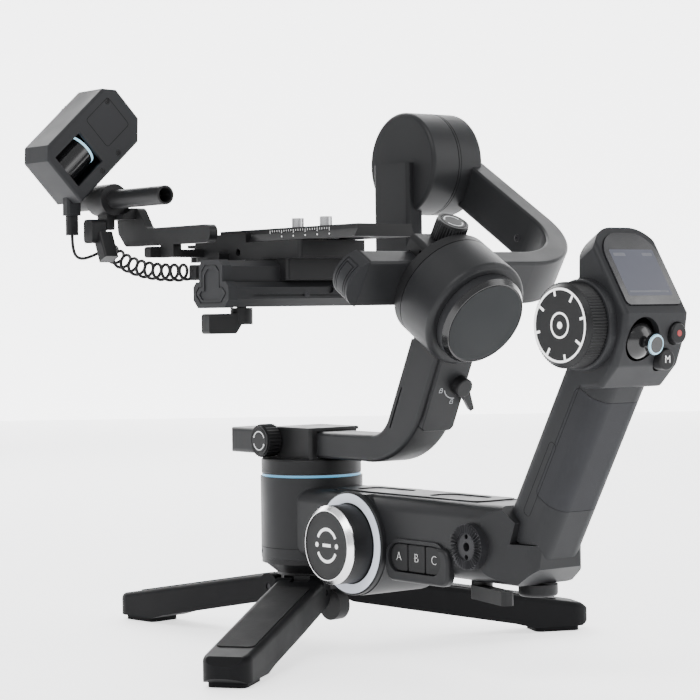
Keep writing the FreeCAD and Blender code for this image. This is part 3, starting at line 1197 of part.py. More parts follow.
def focus_drum():
    """Manual drive drum that shows in the case's window, along the case's length."""
    drum = rod(9.0, (WINDOW_X - WINDOW_HALF + 0.3, 11.2, 0), (WINDOW_X + WINDOW_HALF - 0.3, 11.2, 0))
    return placed(drum, FOCUS_FRAME)


def drive_gear():
    points = []
    pitch_radius = GEAR_MODULE * GEAR_TEETH / 2
    profile = ((-0.42, -1.0), (-0.18, 0.8), (0.18, 0.8), (0.42, -1.0))
    for i in range(GEAR_TEETH):
        for part_of_pitch, height in profile:
            angle = 2 * math.pi * (i + part_of_pitch) / GEAR_TEETH
            reach = pitch_radius + GEAR_MODULE * height
            points.append((GEAR_X + reach * math.cos(angle), GEAR_Z + reach * math.sin(angle)))
    gear = prism_y(points, FOCUS_DEPTH + 0.6, FOCUS_DEPTH + 9.0)
    axle = rod(2.55, (GEAR_X, FOCUS_DEPTH - 2, GEAR_Z), (GEAR_X, FOCUS_DEPTH + 10.5, GEAR_Z))
    return placed(gear.fuse(axle).removeSplitter(), FOCUS_FRAME)


def lead_plug():
    """Plug on the motor end of the lead, under the case."""
    x, y, top = LEAD_ROUTE[0]
    shell = rounded(box(x - 3.2, x + 3.2, y - 2.3, y + 2.3, top, top + 10.5), 1.5, Z_AXIS)
    tip = rounded(box(x - 2.4, x + 2.4, y - 1.2, y + 1.2, top + 10.4, top + 16.5), 0.8, Z_AXIS)
    return shell.fuse(tip).removeSplitter()


def base_plug():
    """Plug on the camera-base end of the curly cord."""
    x, y, z = CURL_ROUTE[-1]
    body = rounded(box(x, x + PLUG_LENGTH, y - 3.2, y + 3.2, z - 4.0, z + 4.0), 1.5, X_AXIS)
    tip = box(x + PLUG_LENGTH - 0.1, x + PLUG_LENGTH + 6.0, y - 1.4, y + 1.4, z - 3.2, z + 3.2)
    return body.fuse(tip).removeSplitter()


def focus_parts():
    save("rod_bracket", rod_bracket())
    save("motor_rod", motor_rod())
    save("rod_clamp", rod_clamp())
    save("rod_clamp_lever", rod_clamp_lever())
    save("focus_motor_case", focus_motor_body())
    save("focus_drum", focus_drum())
    save("drive_gear", drive_gear())
    save("cord_plugs", lead_plug(), base_plug())
    save("motor_lead", cord_tube(LEAD_ROUTE, CORD_WIRE / 2))
    save("curly_cord", cord_tube(CURL_ROUTE, CURL_RADIUS))


if __name__ == "__main__":
    os.makedirs("parts", exist_ok=True)
    handle_parts()
    grip_parts()
    head_parts()
    control_parts()
    handle_lock_parts()
    tripod_parts()
    pan_arm_parts()
    roll_arm_parts()
    camera_mount_parts()
    focus_parts()
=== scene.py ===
import math

import bmesh
import bpy
from mathutils import Matrix, Vector


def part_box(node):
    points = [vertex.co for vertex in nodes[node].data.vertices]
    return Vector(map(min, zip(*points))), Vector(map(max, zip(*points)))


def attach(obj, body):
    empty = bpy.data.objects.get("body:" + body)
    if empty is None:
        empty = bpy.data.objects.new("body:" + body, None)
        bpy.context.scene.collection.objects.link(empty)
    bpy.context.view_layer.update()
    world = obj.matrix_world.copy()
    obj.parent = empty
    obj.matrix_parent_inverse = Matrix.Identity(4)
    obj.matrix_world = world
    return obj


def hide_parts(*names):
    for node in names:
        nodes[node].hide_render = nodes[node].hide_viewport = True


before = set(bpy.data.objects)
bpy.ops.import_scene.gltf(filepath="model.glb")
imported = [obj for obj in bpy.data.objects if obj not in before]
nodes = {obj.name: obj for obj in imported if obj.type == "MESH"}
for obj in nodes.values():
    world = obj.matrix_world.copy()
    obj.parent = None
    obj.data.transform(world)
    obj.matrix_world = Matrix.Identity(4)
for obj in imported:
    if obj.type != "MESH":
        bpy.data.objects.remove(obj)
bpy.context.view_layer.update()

# ---- sizes -------------------------------------------------------------------

MM = 0.001
# Axes and mounting points of the CAD nodes, in mm.
GIMBAL_Z = 247.0
FOLLOW_Y, FOLLOW_Z = -62.5, 57.0
FOCUS_Y, FOCUS_Z = -224.0, 162.3
ROLL_KNOB_Y = -117.0
ROLL_KNOB_FOOT = 11.85 + 8.1
ROLL_KNOB_HEIGHT = 9.8
KEY_PITCH = 12.9
# How marks sit on a surface, in mm.
SINK = 0.02
LINE = 0.03
INK = 0.04
THICK_INK = 0.06
# Steps round a lathed ring.
RING_STEPS = 128
FINE_STEPS = 160
SMALL_STEPS = 72
SCREW_STEPS = 36
# Camera and stage, in metres and degrees; the lens is in mm.
LENS = 113.14
CAMERA_PLACE = (-0.6703, -0.9075, 0.170)
AZIMUTH = 37.5
DROP = 1.04
ROLL = 0.8
FLOOR_HALF = 6.0
FLOOR_DROP = 0.0002
BACKDROP_DISTANCE = 2.4
BACKDROP_HALF = 3.0
BACKDROP_HEIGHT = 3.0

X_AXIS = Vector((1, 0, 0))
Y_AXIS = Vector((0, 1, 0))
Z_AXIS = Vector((0, 0, 1))


def mm(*values):
    return Vector([value * MM for value in values])


# ---- materials ---------------------------------------------------------------


class Paint:
    """A node material under construction, with short ways to add procedural detail."""

    def __init__(self, name):
        self.material = bpy.data.materials.new(name)
        self.material.use_nodes = True
        self.tree = self.material.node_tree
        self.shader = self.tree.nodes["Principled BSDF"]
        self.place = self.tree.nodes.new("ShaderNodeTexCoord").outputs["Object"]
        self.height = None

    def node(self, kind, **values):
        made = self.tree.nodes.new(kind)
        for key, value in values.items():
            if key in made.inputs:
                made.inputs[key].default_value = value
            else:
                setattr(made, key, value)
        return made

    def link(self, source, target):
        self.tree.links.new(source, target)

    def set(self, **values):
        names = {"colour": "Base Color", "rough": "Roughness", "metal": "Metallic", "coat": "Coat Weight",
                 "coat_rough": "Coat Roughness", "specular": "Specular IOR Level",
                 "glow": "Emission Strength", "glow_colour": "Emission Color", "sheen": "Sheen Weight"}
        for key, value in values.items():
            if "colour" in key:
                value = (*value, 1.0)
            self.shader.inputs[names[key]].default_value = value
        return self

    def noise(self, scale, detail=3.0, rough=0.55):
        texture = self.node("ShaderNodeTexNoise", Scale=scale, Detail=detail, Roughness=rough)
        self.link(self.place, texture.inputs["Vector"])
        return texture.outputs["Fac"]

    def spread(self, fac, low, high, from_low=0.3, from_high=0.7):
        """Maps a texture's middle range onto low..high."""
        remap = self.node("ShaderNodeMapRange")
        remap.inputs["From Min"].default_value = from_low
        remap.inputs["From Max"].default_value = from_high
        remap.inputs["To Min"].default_value = low
        remap.inputs["To Max"].default_value = high
        self.link(fac, remap.inputs["Value"])
        return remap.outputs["Result"]

    def mixed(self, fac, a, b):
        mix = self.node("ShaderNodeMix", data_type="RGBA")
        for socket, value in ((mix.inputs[6], a), (mix.inputs[7], b)):
            if isinstance(value, tuple):
                socket.default_value = (*value, 1.0)
            else:
                self.link(value, socket)
        self.link(fac, mix.inputs[0])
        return mix.outputs[2]

    def colour(self, source):
        self.link(source, self.shader.inputs["Base Color"])
        return self

    def rough(self, source):
        self.link(source, self.shader.inputs["Roughness"])
        return self

    def bump(self, height, distance, strength=1.0):
        node = self.node("ShaderNodeBump", Strength=strength, Distance=distance)
        self.link(height, node.inputs["Height"])
        if self.height is not None:
            self.link(self.height, node.inputs["Normal"])
        self.height = node.outputs["Normal"]
        self.link(self.height, self.shader.inputs["Normal"])
        return self

    def worn_edges(self, size):
        """How sharply the surface turns here: 0 on flat ground, towards 1 on an edge."""
        bevel = self.node("ShaderNodeBevel", Radius=size, samples=4)
        geometry = self.node("ShaderNodeNewGeometry")
        dot = self.node("ShaderNodeVectorMath", operation="DOT_PRODUCT")
        self.link(bevel.outputs["Normal"], dot.inputs[0])
        self.link(geometry.outputs["Normal"], dot.inputs[1])
        return self.spread(dot.outputs["Value"], 1.0, 0.0, 0.80, 0.985)


def satin_metal(name, colour, rough=0.42, grain=2600.0, edge=0.35):
    """Painted or anodised alloy: fine grain, cloudy gloss, paler worn edges."""
    paint = Paint(name).set(specular=0.18)
    cloud = paint.noise(38.0, 4.0)
    fine = paint.noise(grain, 2.0)
    pale = tuple(min(1.0, channel * 2.3 + 0.012) for channel in colour)
    lighter = tuple(channel * 1.35 + 0.002 for channel in colour)
    base = paint.mixed(paint.spread(cloud, 0.0, 0.35), colour, lighter)
    wear = paint.node("ShaderNodeMath", operation="MULTIPLY")
    paint.link(paint.worn_edges(0.0006), wear.inputs[0])
    paint.link(paint.spread(paint.noise(240.0, 5.0), 0.0, edge, 0.35, 0.7), wear.inputs[1])
    paint.colour(paint.mixed(wear.outputs[0], base, pale))
    paint.rough(paint.spread(cloud, rough - 0.05, rough + 0.07))
    paint.bump(fine, 0.00002, 0.55)
    return paint


def moulded(name, colour, rough=0.5, grain=1900.0, depth=0.00003):
    """Moulded plastic with a spark-eroded grain."""
    paint = Paint(name).set(specular=0.16)
    cells = paint.node("ShaderNodeTexVoronoi", Scale=grain)
    paint.link(paint.place, cells.inputs["Vector"])
    cloud = paint.noise(30.0, 3.0)
    paint.colour(paint.mixed(paint.spread(cloud, 0.0, 0.4), colour, tuple(c * 1.4 + 0.002 for c in colour)))
    paint.rough(paint.spread(cloud, rough - 0.05, rough + 0.08))
    paint.bump(cells.outputs["Distance"], depth, 0.5)
    return paint


def glossy(name, colour, rough=0.16):
    """Polished moulding: faint swirl marks and dust in the gloss."""
    paint = Paint(name).set(specular=0.4, coat=0.12, coat_rough=0.12)
    cloud = paint.noise(60.0, 6.0, 0.65)
    paint.colour(paint.mixed(paint.spread(cloud, 0.0, 0.3), colour, tuple(c * 1.5 + 0.004 for c in colour)))
    paint.rough(paint.spread(cloud, rough - 0.04, rough + 0.10))
    paint.bump(paint.noise(300.0, 2.0), 0.00001, 0.3)
    return paint


def soft_rubber(name, colour, rough=0.62, grain=1500.0):
    """Soft-touch rubber with fine pebbling and a dusty bloom."""
    paint = Paint(name).set(specular=0.14, sheen=0.02)
    pebble = paint.node("ShaderNodeTexVoronoi", Scale=grain)
    paint.link(paint.place, pebble.inputs["Vector"])
    bloom = paint.noise(45.0, 5.0, 0.6)
    paint.colour(paint.mixed(paint.spread(bloom, 0.0, 0.45), colour, tuple(c * 1.55 + 0.003 for c in colour)))
    paint.rough(paint.spread(bloom, rough - 0.06, rough + 0.08))
    paint.bump(pebble.outputs["Distance"], 0.00005, 0.55)
    return paint


def turned_metal(name, colour, axis, rough=0.25):
    """Bare metal with fine turning lines round the given axis."""
    paint = Paint(name).set(metal=1.0)
    stretch = paint.node("ShaderNodeMapping")
    stretch.inputs["Scale"].default_value = tuple(9000.0 if i == axis else 120.0 for i in range(3))
    paint.link(paint.place, stretch.inputs["Vector"])
    lines = paint.node("ShaderNodeTexNoise", Scale=1.0, Detail=2.0)
    paint.link(stretch.outputs["Vector"], lines.inputs["Vector"])
    fac = lines.outputs["Fac"]
    paint.colour(paint.mixed(paint.spread(fac, 0.0, 0.5), colour, tuple(c * 0.8 for c in colour)))
    paint.rough(paint.spread(fac, rough - 0.06, rough + 0.10))
    paint.bump(fac, 0.00001, 0.4)
    return paint


def glowing(name, colour, strength):
    paint = Paint(name).set(rough=0.35, glow_colour=colour, glow=strength)
    haze = paint.noise(90.0, 3.0)
    dim = tuple(channel * 0.2 for channel in colour)
    paint.colour(paint.mixed(paint.spread(haze, 0.0, 0.5), dim, tuple(channel * 0.7 for channel in dim)))
    return paint


CAST = satin_metal("cast_paint", (0.0110, 0.0113, 0.0122), 0.42).material
LEG_FINISH = satin_metal("leg_finish", (0.0040, 0.0041, 0.0046), 0.58, 1400.0).set(specular=0.08).material
ANODISED = satin_metal("anodised_black", (0.0075, 0.0076, 0.0081), 0.44, 3200.0, 0.5).material
PLASTIC = moulded("moulded_body", (0.0120, 0.0124, 0.0136), 0.50).material
PLASTIC_DARK = moulded("moulded_dark", (0.0085, 0.0086, 0.0092), 0.42).material
DISC = moulded("cap_disc", (0.0100, 0.0115, 0.0125), 0.55, 2600.0, 0.00001).material
SHADOW = moulded("seam_shadow", (0.002, 0.002, 0.002), 0.8, 2600.0, 0.00001).material
GLOSS = glossy("gloss_black", (0.006, 0.006, 0.0065)).material
RUBBER = soft_rubber("grip_rubber", (0.0140, 0.0144, 0.0164)).material
FOOT_RUBBER = soft_rubber("foot_rubber", (0.0035, 0.0035, 0.0040), 0.74, 900.0).set(specular=0.08).material
TOOTHED = satin_metal("rosette_finish", (0.020, 0.020, 0.022), 0.38, 3200.0, 0.8).set(metal=0.35).material
STEEL = turned_metal("turned_steel", (0.50, 0.50, 0.51), 0).material
BRIGHT = turned_metal("bright_bevel", (0.93, 0.93, 0.94), 0, 0.2).material
DIFFUSER = moulded("pale_diffuser", (0.60, 0.63, 0.70), 0.4).set(
    glow_colour=(0.75, 0.85, 1.0), glow=0.10).material
# The white ink also has a faint painted glow: painted light that keeps the print brighter than the lamps make
# it.
WHITE_INK_PAINTED_GLOW = moulded("white_ink_painted_glow", (0.82, 0.82, 0.82), 0.5, 2500.0, 0.00001).set(
    glow_colour=(1, 1, 1), glow=0.12).material
GREY_INK = moulded("grey_ink", (0.30, 0.31, 0.32), 0.5, 2500.0, 0.00001).material
SILVER_INK = moulded("silver_ink", (0.55, 0.56, 0.57), 0.4, 2500.0, 0.00001).material
BLUE_GLOW = glowing("ring_glow", (0.06, 0.42, 0.72), 0.9).material
THUMB_GLOW = glowing("thumb_glow", (0.45, 0.80, 1.0), 1.4).material
RED_DOT = glowing("red_dot", (0.75, 0.02, 0.02), 0.35).material
DISPLAY = moulded("display_area", (0.050, 0.052, 0.066), 0.22, 2600.0, 0.000005).set(
    glow_colour=(0.5, 0.52, 0.62), glow=0.03).material
DISPLAY_MARK = moulded("display_marks", (0.085, 0.088, 0.10), 0.3, 2600.0, 0.000005).material
COPPER = turned_metal("copper_windings", (0.72, 0.36, 0.18), 2, 0.35).material
BOARD = moulded("solder_mask", (0.02, 0.12, 0.06), 0.4).material
CELL = moulded("cell_wrap", (0.06, 0.16, 0.42), 0.35).material
CORD_SKIN = soft_rubber("cord_jacket", (0.0060, 0.0060, 0.0065), 0.48, 2600.0).material


def screen_material():
    paint = Paint("screen_glass").set(coat=0.15, coat_rough=0.05, specular=0.4)
    smear = paint.noise(70.0, 5.0, 0.7)
    paint.colour(paint.mixed(paint.spread(smear, 0.0, 0.5), (0.010, 0.010, 0.0112), (0.020, 0.0205, 0.022)))
    paint.rough(paint.spread(smear, 0.10, 0.24))
    return paint.material


SCREEN = screen_material()

NODE_MATERIALS = {
    CAST: ("body_shell", "pan_arm", "roll_arm", "tilt_rail"),
    LEG_FINISH: ("leg_left", "leg_front", "leg_right"),
    ANODISED: ("pan_bottom_cap", "tripod_hub", "follow_wheel", "focus_wheel", "handle_lock_lever",
               "handle_screw_knob", "pan_rotor", "pan_clamp_knob", "roll_lock_lever", "roll_rotor",
               "roll_clamp_knob", "rail_lock_lever", "camera_base", "plate_lock_lever", "camera_plate",
               "rod_bracket", "motor_rod", "rod_clamp", "rod_clamp_lever"),
    PLASTIC: ("bottom_cover", "grip_shell", "head_shell", "roll_arm_cap", "rail_end_cap", "focus_motor_case"),
    PLASTIC_DARK: ("button_a", "button_b", "button_c", "record_button", "mode_button", "drive_gear",
                   "cord_plugs", "top_trim"),
    GLOSS: ("trigger", "roll_motor_cap", "focus_drum", "joystick"),
    RUBBER: ("grip_rubber",),
    FOOT_RUBBER: ("leg_left_rubber", "leg_front_rubber", "leg_right_rubber"),
    TOOTHED: ("rosette", "leg_pins"),
    STEEL: ("camera_screws",),
    DIFFUSER: ("light_rings",),
    COPPER: ("pan_motor_core", "roll_motor_core", "tilt_motor_core"),
    BOARD: ("control_boards",),
    CELL: ("battery_cells",),
    SCREEN: ("screen_glass",),
    CORD_SKIN: ("motor_lead", "curly_cord"),
}


def paint_nodes():
    for material, names in NODE_MATERIALS.items():
        for name in names:
            mesh = nodes[name].data
            mesh.materials.clear()
            mesh.materials.append(material)


# ---- building pieces ---------------------------------------------------------


def piece(name, mesh, material, body):
    """Makes an object of the mesh, dresses it, and lets it ride on a CAD body."""
    made = bpy.data.objects.new(name, mesh)
    bpy.context.scene.collection.objects.link(made)
    mesh.materials.append(material)
    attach(made, body)
    return made


def aligned(origin, out, up):
    """Matrix whose local Z points out of a surface and whose local Y points up along it."""
    z = out.normalized()
    y = (up - z * up.dot(z)).normalized()
    x = y.cross(z)
    return Matrix.Translation(origin) @ Matrix((x, y, z)).transposed().to_4x4()


# ---- detail pieces -----------------------------------------------------------


def lean(origin, degrees):
    """Frame at origin, turned about X, as the CAD's leaning frames are."""
    return Matrix.Translation(origin) @ Matrix.Rotation(math.radians(degrees), 4, "X")


ROLL_FRAME = lean(mm(0, 0, GIMBAL_Z), 31.5)
GRIP_FRAME = lean(mm(0, -171, 60), 29.7)
FACE_FRAME = lean(mm(0, -225.5, 204), -31.753)
ARM_FRAME = lean(mm(0, -98, 111.5), 25.5)
STICK_FRAME = lean(mm(-7, -239.6, 156), 9)
FOCUS_FRAME = Matrix.Translation(mm(-63, 103, 261.5)) @ Matrix.Rotation(math.radians(-43), 4, "Y")


def facing(frame_matrix, origin, out, up):
    """Drawing frame on a surface, given in the axes of another frame."""
    return frame_matrix @ aligned(mm(*origin), Vector(out), Vector(up))


def on_side(x, y, z):
    """Drawing frame on a face that looks to the operator's left."""
    return aligned(mm(x, y, z), -X_AXIS, Z_AXIS)


def lathe(name, profile, steps):
    """Solid of revolution about Z from a closed loop of (radius, height) in mm."""
    mesh = bmesh.new()
    rings = []
    for i in range(steps):
        angle = 2 * math.pi * i / steps
        rings.append([mesh.verts.new(mm(r * math.cos(angle), r * math.sin(angle), h)) for r, h in profile])
    for i in range(steps):
        here, there = rings[i], rings[(i + 1) % steps]
        for j in range(len(profile)):
            k = (j + 1) % len(profile)
            mesh.faces.new((here[j], there[j], there[k], here[k]))
    return finished(name, mesh)


def finished(name, mesh, smooth_below=35.0):
    """Turns a bmesh into a mesh, with edges sharper than the angle left sharp."""
    bmesh.ops.recalc_face_normals(mesh, faces=mesh.faces)
    for edge in mesh.edges:
        sharp = len(edge.link_faces) != 2 or edge.calc_face_angle() > math.radians(smooth_below)
        edge.smooth = not sharp
    for face in mesh.faces:
        face.smooth = True
    made = bpy.data.meshes.new(name)
    mesh.to_mesh(made)
    mesh.free()
    return made


def raised(name, outlines, thickness):
    """Flat marks: each closed outline, in mm, stands up by the thickness."""
    mesh = bmesh.new()
    for outline in outlines:
        low = [mesh.verts.new(mm(x, y, -SINK)) for x, y in outline]
        high = [mesh.verts.new(mm(x, y, thickness)) for x, y in outline]
        mesh.faces.new(low)
        mesh.faces.new(high)
        for i in range(len(outline)):
            k = (i + 1) % len(outline)
            mesh.faces.new((low[i], low[k], high[k], high[i]))
    return finished(name, mesh)


def arc(radius, start, end, width, cx=0.0, cy=0.0):
    """Outline of a band along part of a circle; a full circle is made of two."""
    steps = max(6, int(abs(end - start) / 4))
    far, near = radius + width / 2, radius - width / 2
    outer, inner = [], []
    for i in range(steps + 1):
        angle = math.radians(start + (end - start) * i / steps)
        outer.append((cx + far * math.cos(angle), cy + far * math.sin(angle)))
        inner.append((cx + near * math.cos(angle), cy + near * math.sin(angle)))
    return outer + inner[::-1]


def circle(radius, width, cx=0.0, cy=0.0):
    return [arc(radius, 0, 180, width, cx, cy), arc(radius, 180, 360, width, cx, cy)]


def dot(radius, cx=0.0, cy=0.0, steps=40):
    turns = [2 * math.pi * i / steps for i in range(steps)]
    return [(cx + radius * math.cos(angle), cy + radius * math.sin(angle)) for angle in turns]


def bar(x0, y0, x1, y1, width):
    length = math.hypot(x1 - x0, y1 - y0)
    nx, ny = -(y1 - y0) / length * width / 2, (x1 - x0) / length * width / 2
    return [(x0 + nx, y0 + ny), (x0 - nx, y0 - ny), (x1 - nx, y1 - ny), (x1 + nx, y1 + ny)]


def rounded_box(x0, x1, y0, y1, radius):
    corners = ((x1 - radius, y1 - radius, 0), (x0 + radius, y1 - radius, 90),
               (x0 + radius, y0 + radius, 180), (x1 - radius, y0 + radius, 270))
    outline = []
    for cx, cy, start in corners:
        for i in range(7):
            angle = math.radians(start + 15 * i)
            outline.append((cx + radius * math.cos(angle), cy + radius * math.sin(angle)))
    return outline


def framed_box(x0, x1, y0, y1, radius, width):
    """Thin line round a rounded box, as pieces that a cap can fill cleanly."""
    outer = rounded_box(x0, x1, y0, y1, radius)
    inner = rounded_box(x0 + width, x1 - width, y0 + width, y1 - width, max(0.1, radius - width))
    pieces = []
    for i in range(len(outer)):
        k = (i + 1) % len(outer)
        pieces.append([outer[i], outer[k], inner[k], inner[i]])
    return pieces


def arrow(radius, at, size, turn):
    """Arrowhead on a circle, pointing the way round that turn (+1 or -1) says."""
    angle = math.radians(at)
    along = (-math.sin(angle) * turn, math.cos(angle) * turn)
    out = (math.cos(angle), math.sin(angle))
    x, y = radius * out[0], radius * out[1]
    return [(x + along[0] * size, y + along[1] * size),
            (x + out[0] * size * 0.7, y + out[1] * size * 0.7),
            (x - out[0] * size * 0.7, y - out[1] * size * 0.7)]


def turning_arrows(radius):
    """Two arcs with arrowheads that show which way a clamp knob turns."""
    return [arc(radius, 20, 150, 0.5), arc(radius, 200, 330, 0.5),
            arrow(radius, 152, 1.0, 1), arrow(radius, 332, 1.0, 1)]


def put(name, mesh, place, material, body):
    """Moves a finished mesh to its place and makes it a piece."""
    mesh.transform(place)
    return piece(name, mesh, material, body)


def turned(name, profile, place, material, body, steps=RING_STEPS):
    """Piece lathed about its frame's Z."""
    return put(name, lathe(name, profile, steps), place, material, body)


def mark(name, outlines, place, material, body, thickness=INK):
    """Piece of flat marks on its frame's plane."""
    return put(name, raised(name, outlines, thickness), place, material, body)


def letter(name, text, size, place, material, body, thin=0.20):
    """Piece made of a printed letter, its strokes thinned by the given mm."""
    curve = bpy.data.curves.new(name, "FONT")
    curve.body = text
    curve.size = size * MM
    curve.align_x = "CENTER"
    curve.align_y = "CENTER"
    curve.extrude = LINE * MM
    curve.offset = -thin * MM
    holder = bpy.data.objects.new(name, curve)
    bpy.context.scene.collection.objects.link(holder)
    mesh = bpy.data.meshes.new_from_object(holder)
    bpy.data.objects.remove(holder)
    return put(name, mesh, place, material, body)


def screw(name, place, radius, material, body, depth=0.5):
    """Domed screw head with a hexagonal socket, its underside at the frame's plane."""
    mesh = bmesh.new()
    angles = [2 * math.pi * i / SCREW_STEPS for i in range(SCREW_STEPS)]
    rings = []
    for reach, height in ((1.0, -0.2), (1.0, depth * 0.55), (0.86, depth * 0.9), (0.58, depth)):
        rings.append([(radius * reach * math.cos(angle), radius * reach * math.sin(angle), height)
                      for angle in angles])
    sixth = math.pi / 6
    hexagon = []
    for angle in angles:
        reach = 0.44 * radius * math.cos(sixth) / math.cos((angle + sixth) % (2 * sixth) - sixth)
        hexagon.append((reach * math.cos(angle), reach * math.sin(angle)))
    rings.append([(x, y, depth) for x, y in hexagon])
    rings.append([(x, y, depth * 0.1) for x, y in hexagon])
    made = [[mesh.verts.new(mm(*point)) for point in ring] for ring in rings]
    for low, high in zip(made, made[1:]):
        for i in range(SCREW_STEPS):
            k = (i + 1) % SCREW_STEPS
            mesh.faces.new((low[i], low[k], high[k], high[i]))
    mesh.faces.new(made[0])
    mesh.faces.new(made[-1])
    return put(name, finished(name, mesh), place, material, body)


def low_x(node):
    """Where a node's left face is, in mm."""
    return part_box(node)[0][0] / MM


def detail_wheels():
    wheel = on_side(0, FOLLOW_Y, FOLLOW_Z)
    bevel = ((16.62, 38.13), (16.91, 38.14), (19.14, 35.91), (19.14, 35.4), (18.9, 35.4), (18.9, 35.8),
             (16.8, 37.9), (16.62, 37.9))
    turned("follow_wheel_bevel", bevel, wheel, BRIGHT, "follow_wheel")
    face = on_side(-37.7, FOLLOW_Y, FOLLOW_Z)
    emblem = [arc(7.8, 28, 152, 1.5), arc(7.8, 208, 332, 1.5), bar(-3.2, 0, 3.2, 0, 1.5),
              dot(1.2, -7.8, 0), dot(1.2, 7.8, 0)]
    mark("follow_wheel_emblem", emblem, face, WHITE_INK_PAINTED_GLOW, "follow_wheel", THICK_INK)

    face = on_side(low_x("focus_wheel"), FOCUS_Y, FOCUS_Z)
    scale = circle(15.45, 1.0)
    for i in range(8):
        angle = math.radians(45 * i + 12)
        reach = 11.6 if i % 2 else 12.6
        scale.append(bar(reach * math.cos(angle), reach * math.sin(angle), 15.0 * math.cos(angle),
                         15.0 * math.sin(angle), 1.15))
    scale += circle(5.2, 0.9) + [dot(1.5)]
    mark("focus_wheel_scale", scale, face, WHITE_INK_PAINTED_GLOW, "focus_wheel", THICK_INK)


def detail_lights():
    band = ((25.15, 85.96), (25.36, 85.96), (25.40, 86.5), (25.36, 87.04), (25.15, 87.04))
    turned("pan_ring_glow", band, Matrix(), BLUE_GLOW, "handle", FINE_STEPS)
    stick = facing(STICK_FRAME, (0, 0, 0), (0, -1, 0), (0, 0, 1))
    ring = ((3.45, 14.9), (3.5, 15.05), (3.8, 15.05), (4.2, 14.75), (4.44, 14.3), (4.3, 14.3), (4.1, 14.6),
            (3.7, 14.9))
    turned("thumb_ring", ring, stick, THUMB_GLOW, "joystick", SMALL_STEPS)
    drum = facing(FOCUS_FRAME, (0, 11.2, 0), (1, 0, 0), (0, -1, 0))
    band = ((8.9, -6.3), (9.1, -6.3), (9.14, -5.6), (9.1, -4.9), (8.9, -4.9))
    turned("focus_ring_glow", band, drum, THUMB_GLOW, "focus_drum")


def detail_head():
    face = facing(FACE_FRAME, (0, -0.7, 0), (0, -1, 0), (0, 0, 1))
    mark("display", [rounded_box(-13, 13, -35.2, -11.85, 0.8)], face, DISPLAY, "handle", LINE)
    status = [rounded_box(-11.5, -4.5, -15.2, -13.6, 0.5), rounded_box(5.5, 11.5, -15.2, -13.6, 0.5),
              rounded_box(-11.5, 11.5, -33.6, -32.6, 0.4)]
    above = face @ Matrix.Translation(mm(0, 0, LINE))
    mark("display_status", status, above, DISPLAY_MARK, "handle", 0.02)
    record_face = aligned(mm(12.2, -249.0, 158.2), -Y_AXIS, Z_AXIS)
    mark("record_dot", [dot(1.35)], record_face, RED_DOT, "record_button", 0.08)
    mode_face = aligned(mm(8.0, -246.0, 147.0), -Y_AXIS, Z_AXIS)
    letter("mode_letter", "M", 4.6, mode_face, WHITE_INK_PAINTED_GLOW, "mode_button", 0.06)


def detail_body():
    for i, text in enumerate("ABC"):
        node = "button_" + text.lower()
        place = on_side(low_x(node), -98.6 - KEY_PITCH * i, 53.4)
        letter("letter_" + text.lower(), text, 6.0, place, WHITE_INK_PAINTED_GLOW, node)
    # Cover seam round the pan housing's foot and its small screw.
    seam = ((26.1, 50.0), (26.27, 50.0), (26.27, 50.25), (26.1, 50.25))
    turned("housing_seam", seam, Matrix(), SHADOW, "handle", FINE_STEPS)
    foot = aligned(mm(-23.45, 11.65, 47.6), Vector((-0.9, 0.44, 0)), Z_AXIS)
    screw("housing_screw", foot, 1.1, TOOTHED, "handle", 0.25)


def detail_grip():
    side = facing(GRIP_FRAME, (-14.2, 0, 0), (-1, 0, 0), (0, 0, 1))
    inset = side @ Matrix.Translation(mm(0, 0, SINK))
    lines = framed_box(-4.0, 0.8, 19.6, 57.2, 1.8, 0.2)
    lines.append(bar(0.7, 57.0, 0.7, 93.0, 0.2))
    mark("grip_panel_line", lines, inset, SHADOW, "handle", LINE)


def detail_roll():
    end = facing(ROLL_FRAME, (0, 0, 0), (0, -1, 0), (0, 0, 1))
    sleeve = ((22.4, 154.3), (22.66, 154.3), (22.66, 158.5), (22.4, 158.5))
    turned("roll_cap_sleeve", sleeve, end, PLASTIC, "pan_slide", FINE_STEPS)
    cap = end @ Matrix.Translation(mm(0, 0, 161.0))
    mark("roll_cap_disc", [dot(20.15, steps=96)], cap, DISC, "pan_slide", LINE)
    top = facing(ROLL_FRAME, (0, ROLL_KNOB_Y, ROLL_KNOB_FOOT + ROLL_KNOB_HEIGHT), (0, 0, 1), (0, 1, 0))
    mark("roll_knob_arc", turning_arrows(4.6), top, SILVER_INK, "roll_knob")
    rim = ((6.6, 9.75), (7.62, 9.75), (7.66, 9.3), (7.62, 8.9), (6.6, 8.9))
    foot = facing(ROLL_FRAME, (0, ROLL_KNOB_Y, ROLL_KNOB_FOOT), (0, 0, 1), (0, 1, 0))
    turned("roll_knob_rim", rim, foot, ANODISED, "roll_knob", SMALL_STEPS)

    pan_face = on_side(low_x("pan_clamp_knob"), 11.7, 103.9)
    mark("pan_knob_arc", turning_arrows(4.7), pan_face, SILVER_INK, "pan_knob")

    cover = facing(ARM_FRAME, (0, -2.0, 0), (0, -1, 0), (0, 0, 1))
    # Two small padlocks, the second one open, and the arc that the lever sweeps between them.
    lock = [arc(7.4, 205, 275, 0.45, 4.6, 26)]
    for x, y, gap in ((-4.2, 22.6, 0.0), (4.2, 16.6, 0.5)):
        lock += framed_box(x - 1.0, x + 1.0, y - 0.9, y + 0.7, 0.2, 0.3)
        lock.append(arc(0.7, 40 * gap, 180, 0.28, x, y + 0.8))
    mark("lock_marks", lock, cover, GREY_INK, "pan_slide", LINE)


